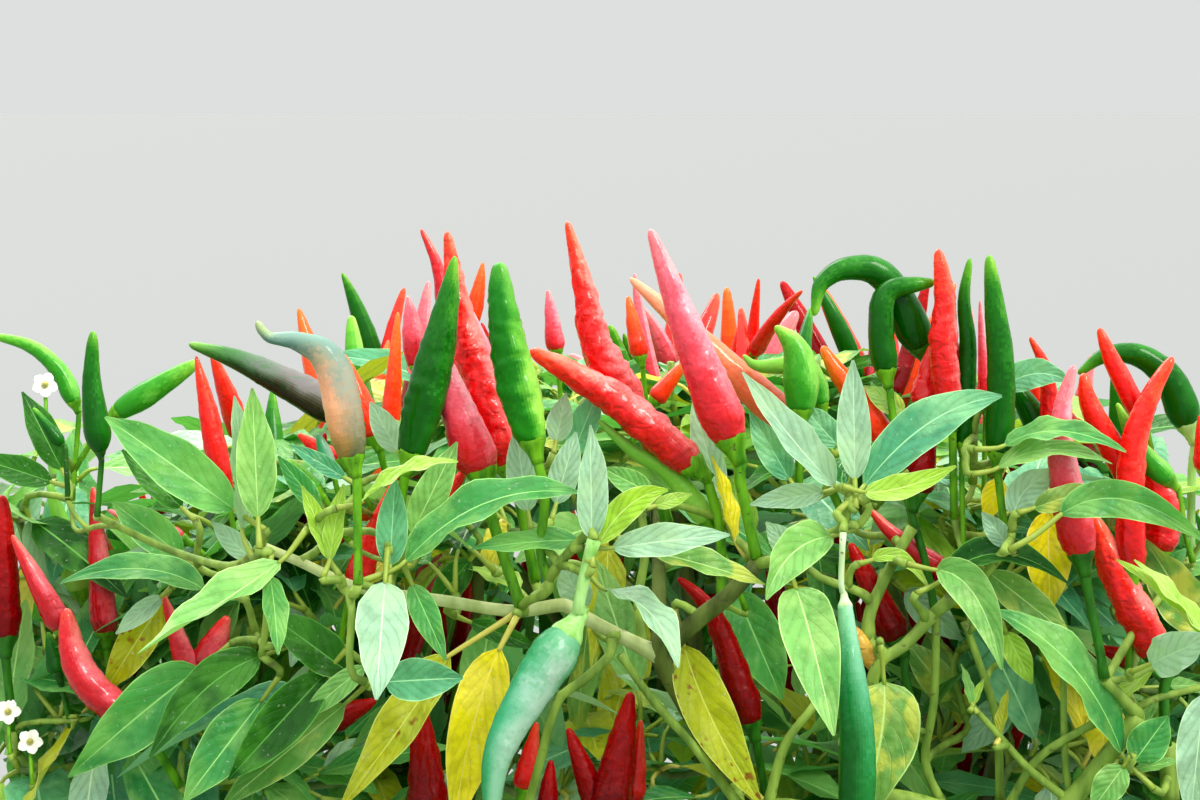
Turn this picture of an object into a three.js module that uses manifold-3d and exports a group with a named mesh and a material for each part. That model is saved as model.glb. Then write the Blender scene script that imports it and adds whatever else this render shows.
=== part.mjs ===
// A bushy chilli pepper plant, rooted in the ground. Millimetres, +Z up.
// The origin is the middle of the flat cut under the main stem, at ground level.
// The main stem forks low down into two boughs, and each of these into two. They fork
// again into limbs, and each limb ends where it enters a mass of foliage and pods.
import * as THREE from "three";
import { mergeVertices } from "three/addons/utils/BufferGeometryUtils.js";
import Module from "manifold-3d";

const wasm = await Module();
wasm.setup();

// Driving dimensions
const CROWN_CENTRE = new THREE.Vector2(-30, -4); // middle of the crown, seen from above
const STEM_RADIUS = 7.4; // just below the fork
const STEM_TAPER = 1.6; // how much thicker it is at the foot, apart from the flare
const FLARE_RADIUS = 15; // at ground level
const FLARE_HEIGHT = 34; // how far up the root flare reaches
const GAP = 0.4; // clearance between neighbouring solids
const LIMB_SIDES = 6;
const STEPS_PER_SPAN = 3; // rings of a limb between two of its points
const STEM_SIDES = 10;
const STEM_STEPS = 12;
const MASS_DETAIL = 2; // subdivisions of the icosahedron behind each mass
const SWELL = 0.13; // the broad bulges of a mass, as a share of its radius
const LUMP = 0.08; // its small bumps, likewise
const SPREAD = 0.12; // how much masses of one tier differ in size
const JITTER = 5; // how far a mass strays from its place in the ring, each way
const FRONT_EDGE = -130; // the side on which the crown is highest, as a place along Y
const SLOPE = 0.09; // how much the crown falls for each millimetre behind that side

// Where stems divide or turn
const FORK = [4, -3, 160];
const LEFT_FORK = [-22, -20, 214];
const RIGHT_FORK = [24, 14, 211];
const FRONT_FORK = [8, -66, 286];
const FRONT_BEND = [-9, -101, 336];
const FRONT_NODE = [-34, -116, 384];
const LEFT_NODE = [-84, 0, 288];
const RIGHT_NODE = [66, -22, 286];
const BACK_NODE = [-6, 72, 284];

const GREEN_STEM = { color: 0x6f8a3a, roughness: 0.6, metalness: 0 };
const WOODY_STEM = { color: 0x7d7a4e, roughness: 0.8, metalness: 0 };
const FOLIAGE = { color: 0x3f8f46, roughness: 0.55, metalness: 0 };

// The crown is tiers of foliage masses. Each tier is a ring at one distance from the
// middle of the crown, turned by "turn" degrees, at one height z. A size is outwards,
// sideways and upwards. Masses lean outwards by "lean" degrees. The pods that stand up
// out of a mass are its peaks.
const TIERS = [
  { name: "crest", count: 1, ring: 0, turn: 0, z: 444, size: [34, 34, 34], lean: 0, peaks: 3, rise: 30 },
  { name: "crown", count: 6, ring: 66, turn: 30, z: 438, size: [35, 34, 34], lean: 8, peaks: 3, rise: 36 },
  { name: "shoulder", count: 9, ring: 129, turn: 2, z: 404, size: [38, 43, 44], lean: 6, peaks: 2, rise: 46 },
  { name: "skirt", count: 9, ring: 168, turn: 4, z: 338, size: [44, 54, 37], lean: 22, peaks: 0, rise: 0 },
  { name: "under", count: 4, ring: 90, turn: 20, z: 320, size: [52, 52, 36], lean: 16, peaks: 0, rise: 0 },
];

// A bough or limb runs through its points and ends in the mass "into". Radii are at its
// start and its end. "sag" bends a limb below the straight line before it turns up.
const LIMBS = [
  {
    name: "bough_front",
    through: [FORK, LEFT_FORK, FRONT_FORK, FRONT_BEND, FRONT_NODE],
    into: "shoulder_8",
    radii: [6.2, 2.4],
  },
  { name: "bough_right", through: [FORK, RIGHT_FORK, RIGHT_NODE], into: "crown_1", radii: [6.2, 2.2] },
  { name: "bough_left", through: [LEFT_FORK, LEFT_NODE], into: "crown_4", radii: [4.8, 2.0] },
  { name: "bough_back", through: [RIGHT_FORK, BACK_NODE], into: "crown_2", radii: [4.8, 2.0] },
  { name: "limb_front_top", through: [FRONT_NODE], into: "crown_5", radii: [2.2, 1.6], sag: 0 },
  { name: "limb_front_left", through: [FRONT_NODE], into: "shoulder_7", radii: [2.4, 1.7], sag: 3 },
  { name: "limb_front_right", through: [FRONT_FORK], into: "crown_6", radii: [3.2, 2.0], sag: 7 },
  { name: "limb_front_out", through: [FRONT_FORK], into: "skirt_8", radii: [3.0, 1.9], sag: 6 },
  { name: "limb_left_out", through: [LEFT_NODE], into: "skirt_5", radii: [3.0, 2.0], sag: 6 },
  { name: "limb_left_front", through: [LEFT_NODE], into: "shoulder_6", radii: [3.0, 1.9], sag: 8 },
  { name: "limb_left_back", through: [LEFT_NODE], into: "shoulder_5", radii: [3.0, 1.9], sag: 8 },
  { name: "limb_right_front", through: [RIGHT_NODE], into: "shoulder_9", radii: [3.0, 2.0], sag: 6 },
  { name: "limb_right_out", through: [RIGHT_NODE], into: "skirt_1", radii: [3.0, 2.0], sag: 6 },
  { name: "limb_right_back", through: [RIGHT_NODE], into: "shoulder_1", radii: [3.0, 1.9], sag: 8 },
  { name: "limb_back_left", through: [BACK_NODE], into: "shoulder_4", radii: [3.0, 1.9], sag: 8 },
  { name: "limb_back_right", through: [BACK_NODE], into: "shoulder_2", radii: [3.0, 1.9], sag: 8 },
  { name: "limb_back_top", through: [BACK_NODE], into: "shoulder_3", radii: [3.0, 1.9], sag: 7 },
];

// A repeatable stream of numbers from 0 to 1.
function randomFrom(seed) {
  let state = seed >>> 0;
  return () => {
    state = (state + 0x6d2b79f5) >>> 0;
    let t = Math.imul(state ^ (state >>> 15), state | 1);
    t ^= t + Math.imul(t ^ (t >>> 7), t | 61);
    return ((t ^ (t >>> 14)) >>> 0) / 4294967296;
  };
}

function randomDirection(random) {
  const z = 2 * random() - 1;
  const angle = 2 * Math.PI * random();
  const level = Math.sqrt(1 - z * z);
  return new THREE.Vector3(level * Math.cos(angle), level * Math.sin(angle), z);
}

function positionsOnly(geometry) {
  geometry.deleteAttribute("normal");
  geometry.deleteAttribute("uv");
  return mergeVertices(geometry, 1e-4);
}

function solidFrom(geometry) {
  return new wasm.Manifold(
    new wasm.Mesh({
      numProp: 3,
      vertProperties: geometry.attributes.position.array,
      triVerts: new Uint32Array(geometry.index.array),
    }),
  );
}

function geometryFrom(solid) {
  const mesh = solid.getMesh();
  const geometry = new THREE.BufferGeometry();
  geometry.setAttribute("position", new THREE.BufferAttribute(mesh.vertProperties, 3));
  geometry.setIndex(new THREE.BufferAttribute(mesh.triVerts, 1));
  geometry.computeVertexNormals();
  return geometry;
}

// The largest single body that is left of a solid once the cutters are taken away.
function trimmed(solid, cutters) {
  const left = cutters.reduce((rest, cutter) => rest.subtract(cutter), solid);
  return left.decompose().sort((a, b) => b.volume() - a.volume())[0];
}

// A round limb that tapers along a curve: a cylinder, bent so that its axis is the curve.
function taperedTube(curve, radiusAt, sides, steps) {
  const geometry = positionsOnly(new THREE.CylinderGeometry(1, 1, 1, sides, steps));
  const frames = curve.computeFrenetFrames(steps, false);
  const point = new THREE.Vector3();
  const place = geometry.attributes.position;
  for (let i = 0; i < place.count; i++) {
    point.fromBufferAttribute(place, i);
    const along = point.y + 0.5;
    const step = Math.round(along * steps);
    const radius = radiusAt(along);
    const centre = curve.getPointAt(along);
    centre.addScaledVector(frames.normals[step], point.x * radius);
    centre.addScaledVector(frames.binormals[step], -point.z * radius);
    place.setXYZ(i, centre.x, centre.y, centre.z);
  }
  return geometry;
}

// The curve of a limb, with its number of rings: through its points into its mass.
function limbCurve(limb, places) {
  const points = [...limb.through, places.get(limb.into).centre].map((p) => new THREE.Vector3(...p));
  if (limb.sag) {
    const middle = points[0].clone().lerp(points[1], 0.5);
    middle.z -= limb.sag;
    points.splice(1, 0, middle);
  }
  const curve = new THREE.CatmullRomCurve3(points, false, "centripetal");
  return { curve, steps: STEPS_PER_SPAN * (points.length - 1) };
}

function limbSolid({ curve, steps, radii }, grow) {
  const radiusAt = (along) => THREE.MathUtils.lerp(radii[0], radii[1], along) + grow;
  return solidFrom(taperedTube(curve, radiusAt, LIMB_SIDES, steps));
}

// The main stem leans a little, tapers, and spreads at the ground. Its foot is cut flat.
function mainStemSolid(grow) {
  const points = [[0, 0, 0], [0, 0, 22], [3, -4, 90], FORK].map((p) => new THREE.Vector3(...p));
  const curve = new THREE.CatmullRomCurve3(points, false, "centripetal");
  const length = curve.getLength();
  const radiusAt = (along) => {
    const flare = Math.exp((-3 * along * length) / FLARE_HEIGHT);
    const plain = STEM_RADIUS + (1 - along) * STEM_TAPER;
    return plain + (FLARE_RADIUS - STEM_RADIUS - STEM_TAPER) * flare + grow;
  };
  return solidFrom(taperedTube(curve, radiusAt, STEM_SIDES, STEM_STEPS));
}

// Where each mass of the crown sits, and which way is outwards there.
function massPlaces() {
  const places = new Map();
  const random = randomFrom(41);
  const stray = () => (2 * random() - 1) * JITTER;
  for (const tier of TIERS) {
    for (let i = 0; i < tier.count; i++) {
      const outward = THREE.MathUtils.degToRad(tier.turn + (360 * i) / tier.count);
      const x = CROWN_CENTRE.x + tier.ring * Math.cos(outward) + stray();
      const y = CROWN_CENTRE.y + tier.ring * Math.sin(outward) + stray();
      places.set(`${tier.name}_${i + 1}`, {
        tier,
        outward,
        seed: places.size + 7,
        centre: [x, y, tier.z - SLOPE * (y - FRONT_EDGE) + stray()],
      });
    }
  }
  return places;
}

// One uneven mass: an icosahedral ball with broad bulges and small bumps, stretched to its
// size, leaning outwards, with peaks on top.
function massSolid({ tier, outward, seed, centre }, grow) {
  const random = randomFrom(seed);
  const geometry = positionsOnly(new THREE.IcosahedronGeometry(1, MASS_DETAIL));
  const place = geometry.attributes.position;
  const size = new THREE.Vector3(...tier.size.map((r) => r * (1 + SPREAD * (2 * random() - 1)) + grow));
  const turn = new THREE.Quaternion().setFromAxisAngle(new THREE.Vector3(0, 0, 1), outward);
  const lean = THREE.MathUtils.degToRad(tier.lean);
  turn.multiply(new THREE.Quaternion().setFromAxisAngle(new THREE.Vector3(0, 1, 0), lean));
  const bulges = Array.from({ length: 3 }, () => randomDirection(random));
  const high = [...Array(place.count).keys()].filter((i) => place.getZ(i) > 0.72);
  const peaks = new Set();
  while (peaks.size < tier.peaks) peaks.add(high[Math.floor(random() * high.length)]);
  const point = new THREE.Vector3();
  for (let i = 0; i < place.count; i++) {
    point.fromBufferAttribute(place, i);
    const swell = bulges.reduce((sum, way, k) => sum + Math.sin(2.2 * point.dot(way) + k), 0);
    const reach = 1 + (SWELL * swell) / bulges.length + LUMP * (2 * random() - 1);
    point.multiplyScalar(reach).multiply(size).applyQuaternion(turn);
    if (peaks.has(i)) point.z += tier.rise;
    place.setXYZ(i, point.x + centre[0], point.y + centre[1], point.z + centre[2]);
  }
  return solidFrom(geometry);
}

function named(name, solid, look) {
  const mesh = new THREE.Mesh(geometryFrom(solid), new THREE.MeshStandardMaterial(look));
  mesh.name = name;
  return mesh;
}

function chilliPlant() {
  const plant = new THREE.Group();
  const places = massPlaces();
  const limbs = LIMBS.map((limb) => ({ ...limb, ...limbCurve(limb, places) }));
  plant.add(named("main_stem", mainStemSolid(0), WOODY_STEM));

  const grown = [mainStemSolid(GAP)];
  for (const limb of limbs) {
    const entered = massSolid(places.get(limb.into), GAP);
    plant.add(named(limb.name, trimmed(limbSolid(limb, 0), [...grown, entered]), GREEN_STEM));
    grown.push(limbSolid(limb, GAP));
  }

  const taken = [];
  for (const [name, place] of places) {
    const passing = limbs.filter((limb) => limb.into !== name).map((limb) => limbSolid(limb, GAP));
    plant.add(named(`foliage_${name}`, trimmed(massSolid(place, 0), [...passing, ...taken]), FOLIAGE));
    taken.push(massSolid(place, GAP));
  }
  return plant;
}

export default chilliPlant();
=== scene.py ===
# The looks of a bushy chilli pepper plant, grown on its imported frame. Metres, +Z up.
# The stems, pods and leaves that the photo shows stand where it shows them. A seeded
# branching rule fills the rest of the crown. Everything grows on from the limbs.
import math
import random
from functools import lru_cache

import bpy
import numpy as np
from mathutils import Matrix, Vector, noise


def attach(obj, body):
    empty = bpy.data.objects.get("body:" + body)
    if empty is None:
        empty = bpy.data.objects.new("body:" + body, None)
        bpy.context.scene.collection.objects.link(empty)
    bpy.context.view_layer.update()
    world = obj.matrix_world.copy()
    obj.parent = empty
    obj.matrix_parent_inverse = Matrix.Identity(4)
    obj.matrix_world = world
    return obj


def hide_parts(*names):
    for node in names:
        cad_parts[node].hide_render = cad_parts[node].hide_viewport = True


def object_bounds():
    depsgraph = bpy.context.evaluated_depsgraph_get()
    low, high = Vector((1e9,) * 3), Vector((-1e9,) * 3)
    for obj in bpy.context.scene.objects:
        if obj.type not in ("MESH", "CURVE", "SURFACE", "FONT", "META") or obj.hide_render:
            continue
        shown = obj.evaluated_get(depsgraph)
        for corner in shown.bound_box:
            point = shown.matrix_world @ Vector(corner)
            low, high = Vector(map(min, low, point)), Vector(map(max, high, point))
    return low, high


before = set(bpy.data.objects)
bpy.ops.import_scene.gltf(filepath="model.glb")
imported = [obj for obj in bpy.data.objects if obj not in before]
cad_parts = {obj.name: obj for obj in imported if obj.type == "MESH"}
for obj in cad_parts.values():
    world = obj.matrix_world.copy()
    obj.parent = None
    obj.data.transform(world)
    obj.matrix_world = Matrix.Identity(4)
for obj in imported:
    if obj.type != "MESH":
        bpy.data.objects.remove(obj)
CAD_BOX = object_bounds()

# The photo's camera
PHOTO_WIDTH = 1200
PHOTO_HEIGHT = 800
SENSOR_WIDTH_MM = 36
FOCAL_PIXELS = 2037
PITCH = math.radians(9)
MM = 0.001
AIM = np.array([-0.05, -0.105, 0.452])
AIM_DISTANCE = 0.55
FORWARD = np.array([0, math.cos(PITCH), -math.sin(PITCH)])
RIGHT = np.array([1.0, 0, 0])
UP = np.array([0, math.sin(PITCH), math.cos(PITCH)])
EYE = AIM - AIM_DISTANCE * FORWARD

# The random draws start from these, to which the number of the pod, leaf or node is added
POD_SEED = 500
LEAF_SEED = 900
CROWN_SEED = 3000
THICKET_SEED = 8000
FLOWER_SEED = 70

# Growth
ABOVE = np.array([0, 0, 1.0])
# The way to the sun, which the painted sheen on pods faces
SUNNY_SIDE = np.array([0.81, -0.31, 0.5])
GOLDEN_TURN = math.radians(137.5)
TWIG_RADIUS = 1.1 * MM
LEAST_TWIG = 2 * MM
PETIOLE_RADIUS = 0.75 * MM
LEAST_STALK = 0.75 * MM
ARC_PULL = 0.36  # how far a curve follows the directions of its ends, as a share of its length
# How much worse a stem bears a twig for each metre that it stands above or beyond the twig's end
ABOVE_COST = 0.9
BEYOND_COST = 0.8
LEAF_SLIMNESS = 0.31  # least width of a leaf seen from above, as a share of its length
# A leaf's columns from edge to edge, how many rows it has, and how far it folds, in degrees
FINE_LEAF = ((-1, -0.96, -0.65, -0.28, -0.03, 0.03, 0.28, 0.65, 0.96, 1), 16, (16, 34))
PLAIN_LEAF = ((-1, -0.5, -0.04, 0.04, 0.5, 1), 9, (8, 26))
# The numbers of the looks of a leaf, and of a twig
TOP_SHADE, RIB_SHADE, RIM_SHADE, PETIOLE_SHADE = range(4)
STEM_GREEN, STEM_SHADED, STEM_JOINT = range(3)

# Where grown leaves and pods leave the view free. Up to each depth in mm behind the plane
# through AIM, they show only below that row of the photo. None stands nearer than its depth.
PHOTO_MARGIN = 50
CLEAR_ROWS = ((60, 480), (120, 425), (math.inf, 350))
LEAF_DEPTH = 14
POD_DEPTH = 50
POD_LIFT = 80  # how many pixels above the leaves of its row a grown pod may show
SPARE = 0.009  # how far leaf and pod tips may stand out of the frame's box

# The crown that fills up by rule, with the nodes nearest to its foot first
NODES_PER_MASS = {"crest": 18, "crown": 18, "shoulder": 26, "skirt": 29, "under": 26}
CROWN_FOOT = np.array([0, 0, 0.2])
LEAF_SIZES = (34, 50)
THICKET_SIZES = (34, 46)
PETIOLE_LENGTHS = (6, 13)
POD_LENGTHS = (34, 58)
STALK_LENGTHS = (17, 26)
# How wide a leaf or pod is for its length, and how far a leaf leans from its twig, in degrees
LEAF_WIDTHS = (0.3, 0.4)
POD_WIDTHS = (0.15, 0.22)
LEAF_LEANS = (38, 100)
LOW_LEAN = 14  # how much further the lower leaves lean
# How often a leaf is of each kind, in the order of LEAF_KINDS
FILL_WEIGHTS = (22, 30, 14, 5, 14, 5, 6, 2, 5)
# The thickets inside the crown take paler kinds more often: painted light where shade falls
PAINTED_LIGHT_THICKET_WEIGHTS = (8, 26, 14, 14, 20, 8, 12, 2, 6)
# How often a pod is of each kind: high in the crown, and low. Low in the crown the darker deep kind is more
# common, partly as painted shade
CROWN_PODS = {"red": (38, 24), "pink": (16, 4), "orange": (14, 4), "deep": (14, 44), "dark": (12, 14),
              "bright": (5, 6), "pale": (1, 4)}
# How often a node bears no pod, one or two
POD_COUNTS = (62, 28, 10)
LOW_POD_COUNTS = (74, 20, 6)
POD_LEAN = 0.3
FLOWER_SHARE = 0.06

# Where stems divide or turn, in millimetres, as in the frame
FORK = (4, -3, 160)
LEFT_FORK = (-22, -20, 214)
RIGHT_FORK = (24, 14, 211)
FRONT_FORK = (8, -66, 286)
FRONT_BEND = (-9, -101, 336)
FRONT_NODE = (-34, -116, 384)
LEFT_NODE = (-84, 0, 288)
RIGHT_NODE = (66, -22, 286)
BACK_NODE = (-6, 72, 284)
TRUNK_PATH = ((0, 0, 0), (0, 0, 22), (3, -4, 90), FORK)
# Radius of the main stem at its fork, and what is added towards its foot and by its roots
TRUNK_RADIUS = 7.4
TRUNK_TAPER = 1.6
ROOT_FLARE = 6.0
# Heights in metres over which the flare and the toes of the roots fade
FLARE_HEIGHT = 0.034
TOE_HEIGHT = 0.05
TRUNK_SIDES = 40
BOUGH_SIDES = 20
BOUGH_TIP = 0.018  # how far a bough runs on past the end of its solid, in metres
# Plain limbs: name, start, radius at the end, and how far the limb sags
LIMBS = (
    ("front_out", FRONT_FORK, 1.9, 6), ("left_out", LEFT_NODE, 2.0, 6),
    ("left_front", LEFT_NODE, 1.9, 8), ("left_back", LEFT_NODE, 1.9, 8),
    ("right_front", RIGHT_NODE, 2.0, 6), ("right_out", RIGHT_NODE, 2.0, 6),
    ("right_back", RIGHT_NODE, 1.9, 8), ("back_left", BACK_NODE, 1.9, 8),
    ("back_right", BACK_NODE, 1.9, 8), ("back_top", BACK_NODE, 1.9, 7),
)

BARK_GREEN = "#6C7C36"
# Light and dark colours of pod stalks
STALK_KINDS = {"green": ("#6CAC14", "#387C0A"), "dark": ("#2E7412", "#124A08"),
               "light": ("#A8D884", "#7CB850"), "pale": ("#CEE4B6", "#A6C888")}
DARK_STALKED = ("dark", "deep", "purple")
# Colours of a leaf's top, underside and rib, and of the light that comes through it
LEAF_KINDS = {
    "deep": ("#064C08", "#6CB070", "#5CA838", "#2C8614"),
    "mid": ("#34964A", "#8ACA8E", "#94D470", "#66C43C"),
    "blue": ("#4AA47A", "#A0D6B4", "#9ADA9A", "#74C868"),
    # The pale kind's top stands partly for sheen on the leaf: a painted sheen
    "pale": ("#A4D0B0", "#BAE0C4", "#BCE2B0", "#ACDC90"),
    "fresh": ("#78C060", "#A8D68C", "#B2E080", "#94D84C"),
    "lime": ("#A2D836", "#C0E078", "#C8E67C", "#BCEA34"),
    "mottled": ("#5EA446", "#A4CE84", "#B8DC7C", "#A4D448"),
    "yellow": ("#FFEE08", "#F4EA70", "#FAE65C", "#FFF61E"),
    "olive": ("#C4C800", "#CCD45C", "#D6DC5C", "#D8E010"),
}
GOLDEN_LEAVES = ("yellow", "olive")
# Blotches on a leaf's top: fineness, where the noise starts and ends, strength and colour
LEAF_BLOTCHES = {
    "mottled": (85, 0.5, 0.6, 0.9, "#D8E060"),
    "mid": (60, 0.5, 0.6, 0.45, "#8CC45C"),
    "olive": (70, 0.48, 0.62, 0.35, "#9CB42C"),
}
VEINS = 6.5  # side veins on each half of a leaf
VEIN_SLANT = 4.5
# Colours of a pod from its neck to its tip
POD_KINDS = {
    "red": ("#C00206", "#D60606", "#E60A06", "#F01408", "#F6280C", "#FA4A1C"),
    # deep is a darker red: partly the pods' own tone, partly painted shade for pods that lie in shade
    "deep": ("#620004", "#7C0004", "#940206", "#AA0406", "#BE0808"),
    "crimson": ("#A4040E", "#B40612", "#C20A18", "#CC101E", "#D81A24", "#E8402E"),
    "wrinkled": ("#C00206", "#D40606", "#E20A0A", "#EC1410", "#F42A14", "#FA4A1C"),
    # pink pales towards its tip: partly its own colour, partly painted highlight
    "pink": ("#CA0410", "#DA1A26", "#E63C4C", "#EE5466", "#F26876", "#F68484"),
    "orange": ("#DE1E04", "#EC3206", "#F4480A", "#F85E10", "#FA7A28"),
    "peach": ("#EE5A34", "#F4764C", "#F89266", "#FAB48E"),
    "dark": ("#085202", "#065002", "#065202", "#0A5A04", "#166C08", "#5CA41C"),
    "bright": ("#2C8A1C", "#2A8C14", "#309018", "#3C981E", "#56AA28", "#84C838"),
    "patchy": ("#1A7A04", "#107004", "#0A6802", "#0C6A04", "#147410", "#4C9C2C"),
    "pale": ("#98CC50", "#7CC03C", "#74BA3C", "#84C44C"),
    "purple": ("#2A1A06", "#241E06", "#1E2608", "#1A340C", "#225414", "#5C9A30"),
    "jade": ("#2C8C52", "#36945E", "#3A986A", "#349260", "#2C8A50", "#4CA068"),
    "teal": ("#8CCC9C", "#489C68", "#127030", "#065414", "#044A0E", "#085610"),
    "hook": ("#8A7030", "#D09460", "#EEAC80", "#E8A47C", "#9C9A7C", "#5E8272", "#50786A", "#A4B87C"),
    "dried": ("#B48428", "#D4A43C", "#E2B450", "#C08C34"),
}
# How deep the folds of a pod's skin are, as a share of its radius
CRUMPLE = {"red": 0.07, "wrinkled": 0.17, "deep": 0.08, "crimson": 0.07, "pink": 0.06, "orange": 0.07,
           "dried": 0.24}
SMOOTH_CRUMPLE = 0.035
# Depth of the fine wrinkles in the skin
WRINKLES = {"wrinkled": 1.3 * MM, "deep": 0.7 * MM, "red": 0.6 * MM, "crimson": 0.6 * MM, "pink": 0.6 * MM,
            "dried": 1.5 * MM}
SMOOTH_WRINKLES = 0.35 * MM
GREEN_PODS = ("dark", "bright", "patchy", "pale", "purple", "jade", "teal", "hook")
# Painted sheen and highlights: colours painted on the side and folds of a pod that face the sun, where they
# differ. On the hook pod they are partly its own colour.
POD_PAINTED_SHEEN = {
    "purple": ("#7C7270", "#7C7674", "#767872", "#5E785E", "#40763A", "#7CB44C"),
    "hook": ("#50582E", "#8A8466", "#A89C84", "#A0A08C", "#7C9A8A", "#7A9E90", "#7E9E8E", "#B0C488"),
    "pink": ("#EC3C48", "#F6646E", "#FC8A96", "#FE9EA8", "#FEA8B0", "#FCA8A2"),
    "jade": ("#64A878", "#92B49C", "#9ABAA6", "#8CB298", "#70A484", "#78AC84"),
    "teal": ("#9CD4AC", "#84C098", "#58A478", "#308C4E", "#187430", "#1C7A2C"),
    "dark": ("#125E0C", "#166610", "#1C7014", "#2C7E20", "#428E26", "#84C03A"),
    "bright": ("#70C050", "#7CC854", "#84CC56", "#8ED058", "#98D45A", "#A8DA5C"),
    "patchy": ("#8CD044", "#9CDC54", "#90D24A", "#74C03C", "#58AA34", "#78BA50"),
    "wrinkled": ("#F0504C", "#FA706E", "#FE8480", "#FE8A82", "#FE8672", "#FC825C"),
    "crimson": ("#D83444", "#E24C5A", "#EC626E", "#F07078", "#F47872", "#F87E66"),
    "red": ("#D81414", "#EA2A26", "#F43C34", "#F84C3C", "#FA583C", "#FC6840"),
}
# How far a side looks to the sun before its painted sheen starts, and where the sheen is full
SHEEN_RANGES = {"purple": (-0.1, 0.5), "hook": (-0.1, 0.65), "jade": (0.05, 0.8), "teal": (0.25, 1.0)}
SHEEN_RANGE = (0.3, 0.95)
# A pod's levels run from its own colour to its painted sheen
SHEEN_LEVEL_STEP = 0.14  # how much one level of a shade may differ from the next
# Size of the patches in which the painted sheen on a side comes and goes, and how much they spread it
PATCH = 6 * MM
SHEEN_PATCH_SPREAD = 0.35
# The painted sheen and highlights follow the folds of the skin
SHEEN_FOLD_SHARE = 0.55  # how much the shade of a side goes by its folds, not by the round pod
SHADE_STEP = 0.1  # how much one plain shade of a pod may differ from the next
LEAST_SHADES = 4
# Pods whose own colour and painted sheen differ most have levels that are closer together
SHEEN_CONTRAST_PODS = ("jade", "teal", "hook", "purple")
FINE_LEVEL_STEP = 0.08
# How far apart the folds of the skin lie, and the faces of its mesh
DENT_ALONG = 3.7 * MM
DENT_AROUND = 5.2 * MM
SKIN_GRID = 0.85 * MM
# The share of a pod's length where its blunt tip starts, how long the tip is, and its rings
TIP_FROM = 0.965
TIP_SHARE = 0.035
TIP_RINGS = (0.978, 0.988, 0.996, 1.0)
# A cup's rings from its stalk to its rim: where they lie and how far they have widened
CUP_OFFSETS = (-0.85, -0.64, -0.45, -0.29, -0.15, -0.04, 0.05, 0.1)
CUP_SWELL = (0, 0.08, 0.26, 0.55, 0.83, 0.98, 1.0, 0.94)
# How wide a pod is, as (share of its length from the neck, share of its width)
POD_OUTLINES = {
    "cone": [(0, 0.72), (0.05, 0.9), (0.13, 1), (0.37, 0.84), (0.56, 0.7), (0.75, 0.51), (0.88, 0.35),
             (1, 0.18)],
    "finger": [(0, 0.8), (0.06, 0.95), (0.16, 1), (0.45, 0.94), (0.65, 0.81), (0.82, 0.61), (0.93, 0.43),
               (1, 0.25)],
    "spindle": [(0, 0.66), (0.07, 0.82), (0.28, 1), (0.44, 0.95), (0.6, 0.8), (0.78, 0.56), (0.9, 0.35),
                (1, 0.14)],
    "plump": [(0, 0.66), (0.07, 0.82), (0.28, 1), (0.46, 0.93), (0.68, 0.75), (0.84, 0.6), (0.93, 0.46),
              (1, 0.28)],
    "horn": [(0, 0.8), (0.06, 0.97), (0.12, 1), (0.25, 0.87), (0.38, 0.73), (0.58, 0.55), (0.8, 0.37),
             (1, 0.14)],
    "lance": [(0, 0.42), (0.06, 0.78), (0.16, 1), (0.36, 0.9), (0.56, 0.72), (0.75, 0.55), (0.9, 0.42),
              (1, 0.2)],
    "drop": [(0, 0.4), (0.15, 0.55), (0.3, 0.76), (0.5, 0.92), (0.7, 1), (0.85, 0.97), (0.94, 0.85),
             (1, 0.6)],
    "club": [(0, 0.68), (0.08, 0.9), (0.24, 1), (0.46, 0.95), (0.6, 0.78), (0.72, 0.54), (0.86, 0.32),
             (1, 0.2)],
}

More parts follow.
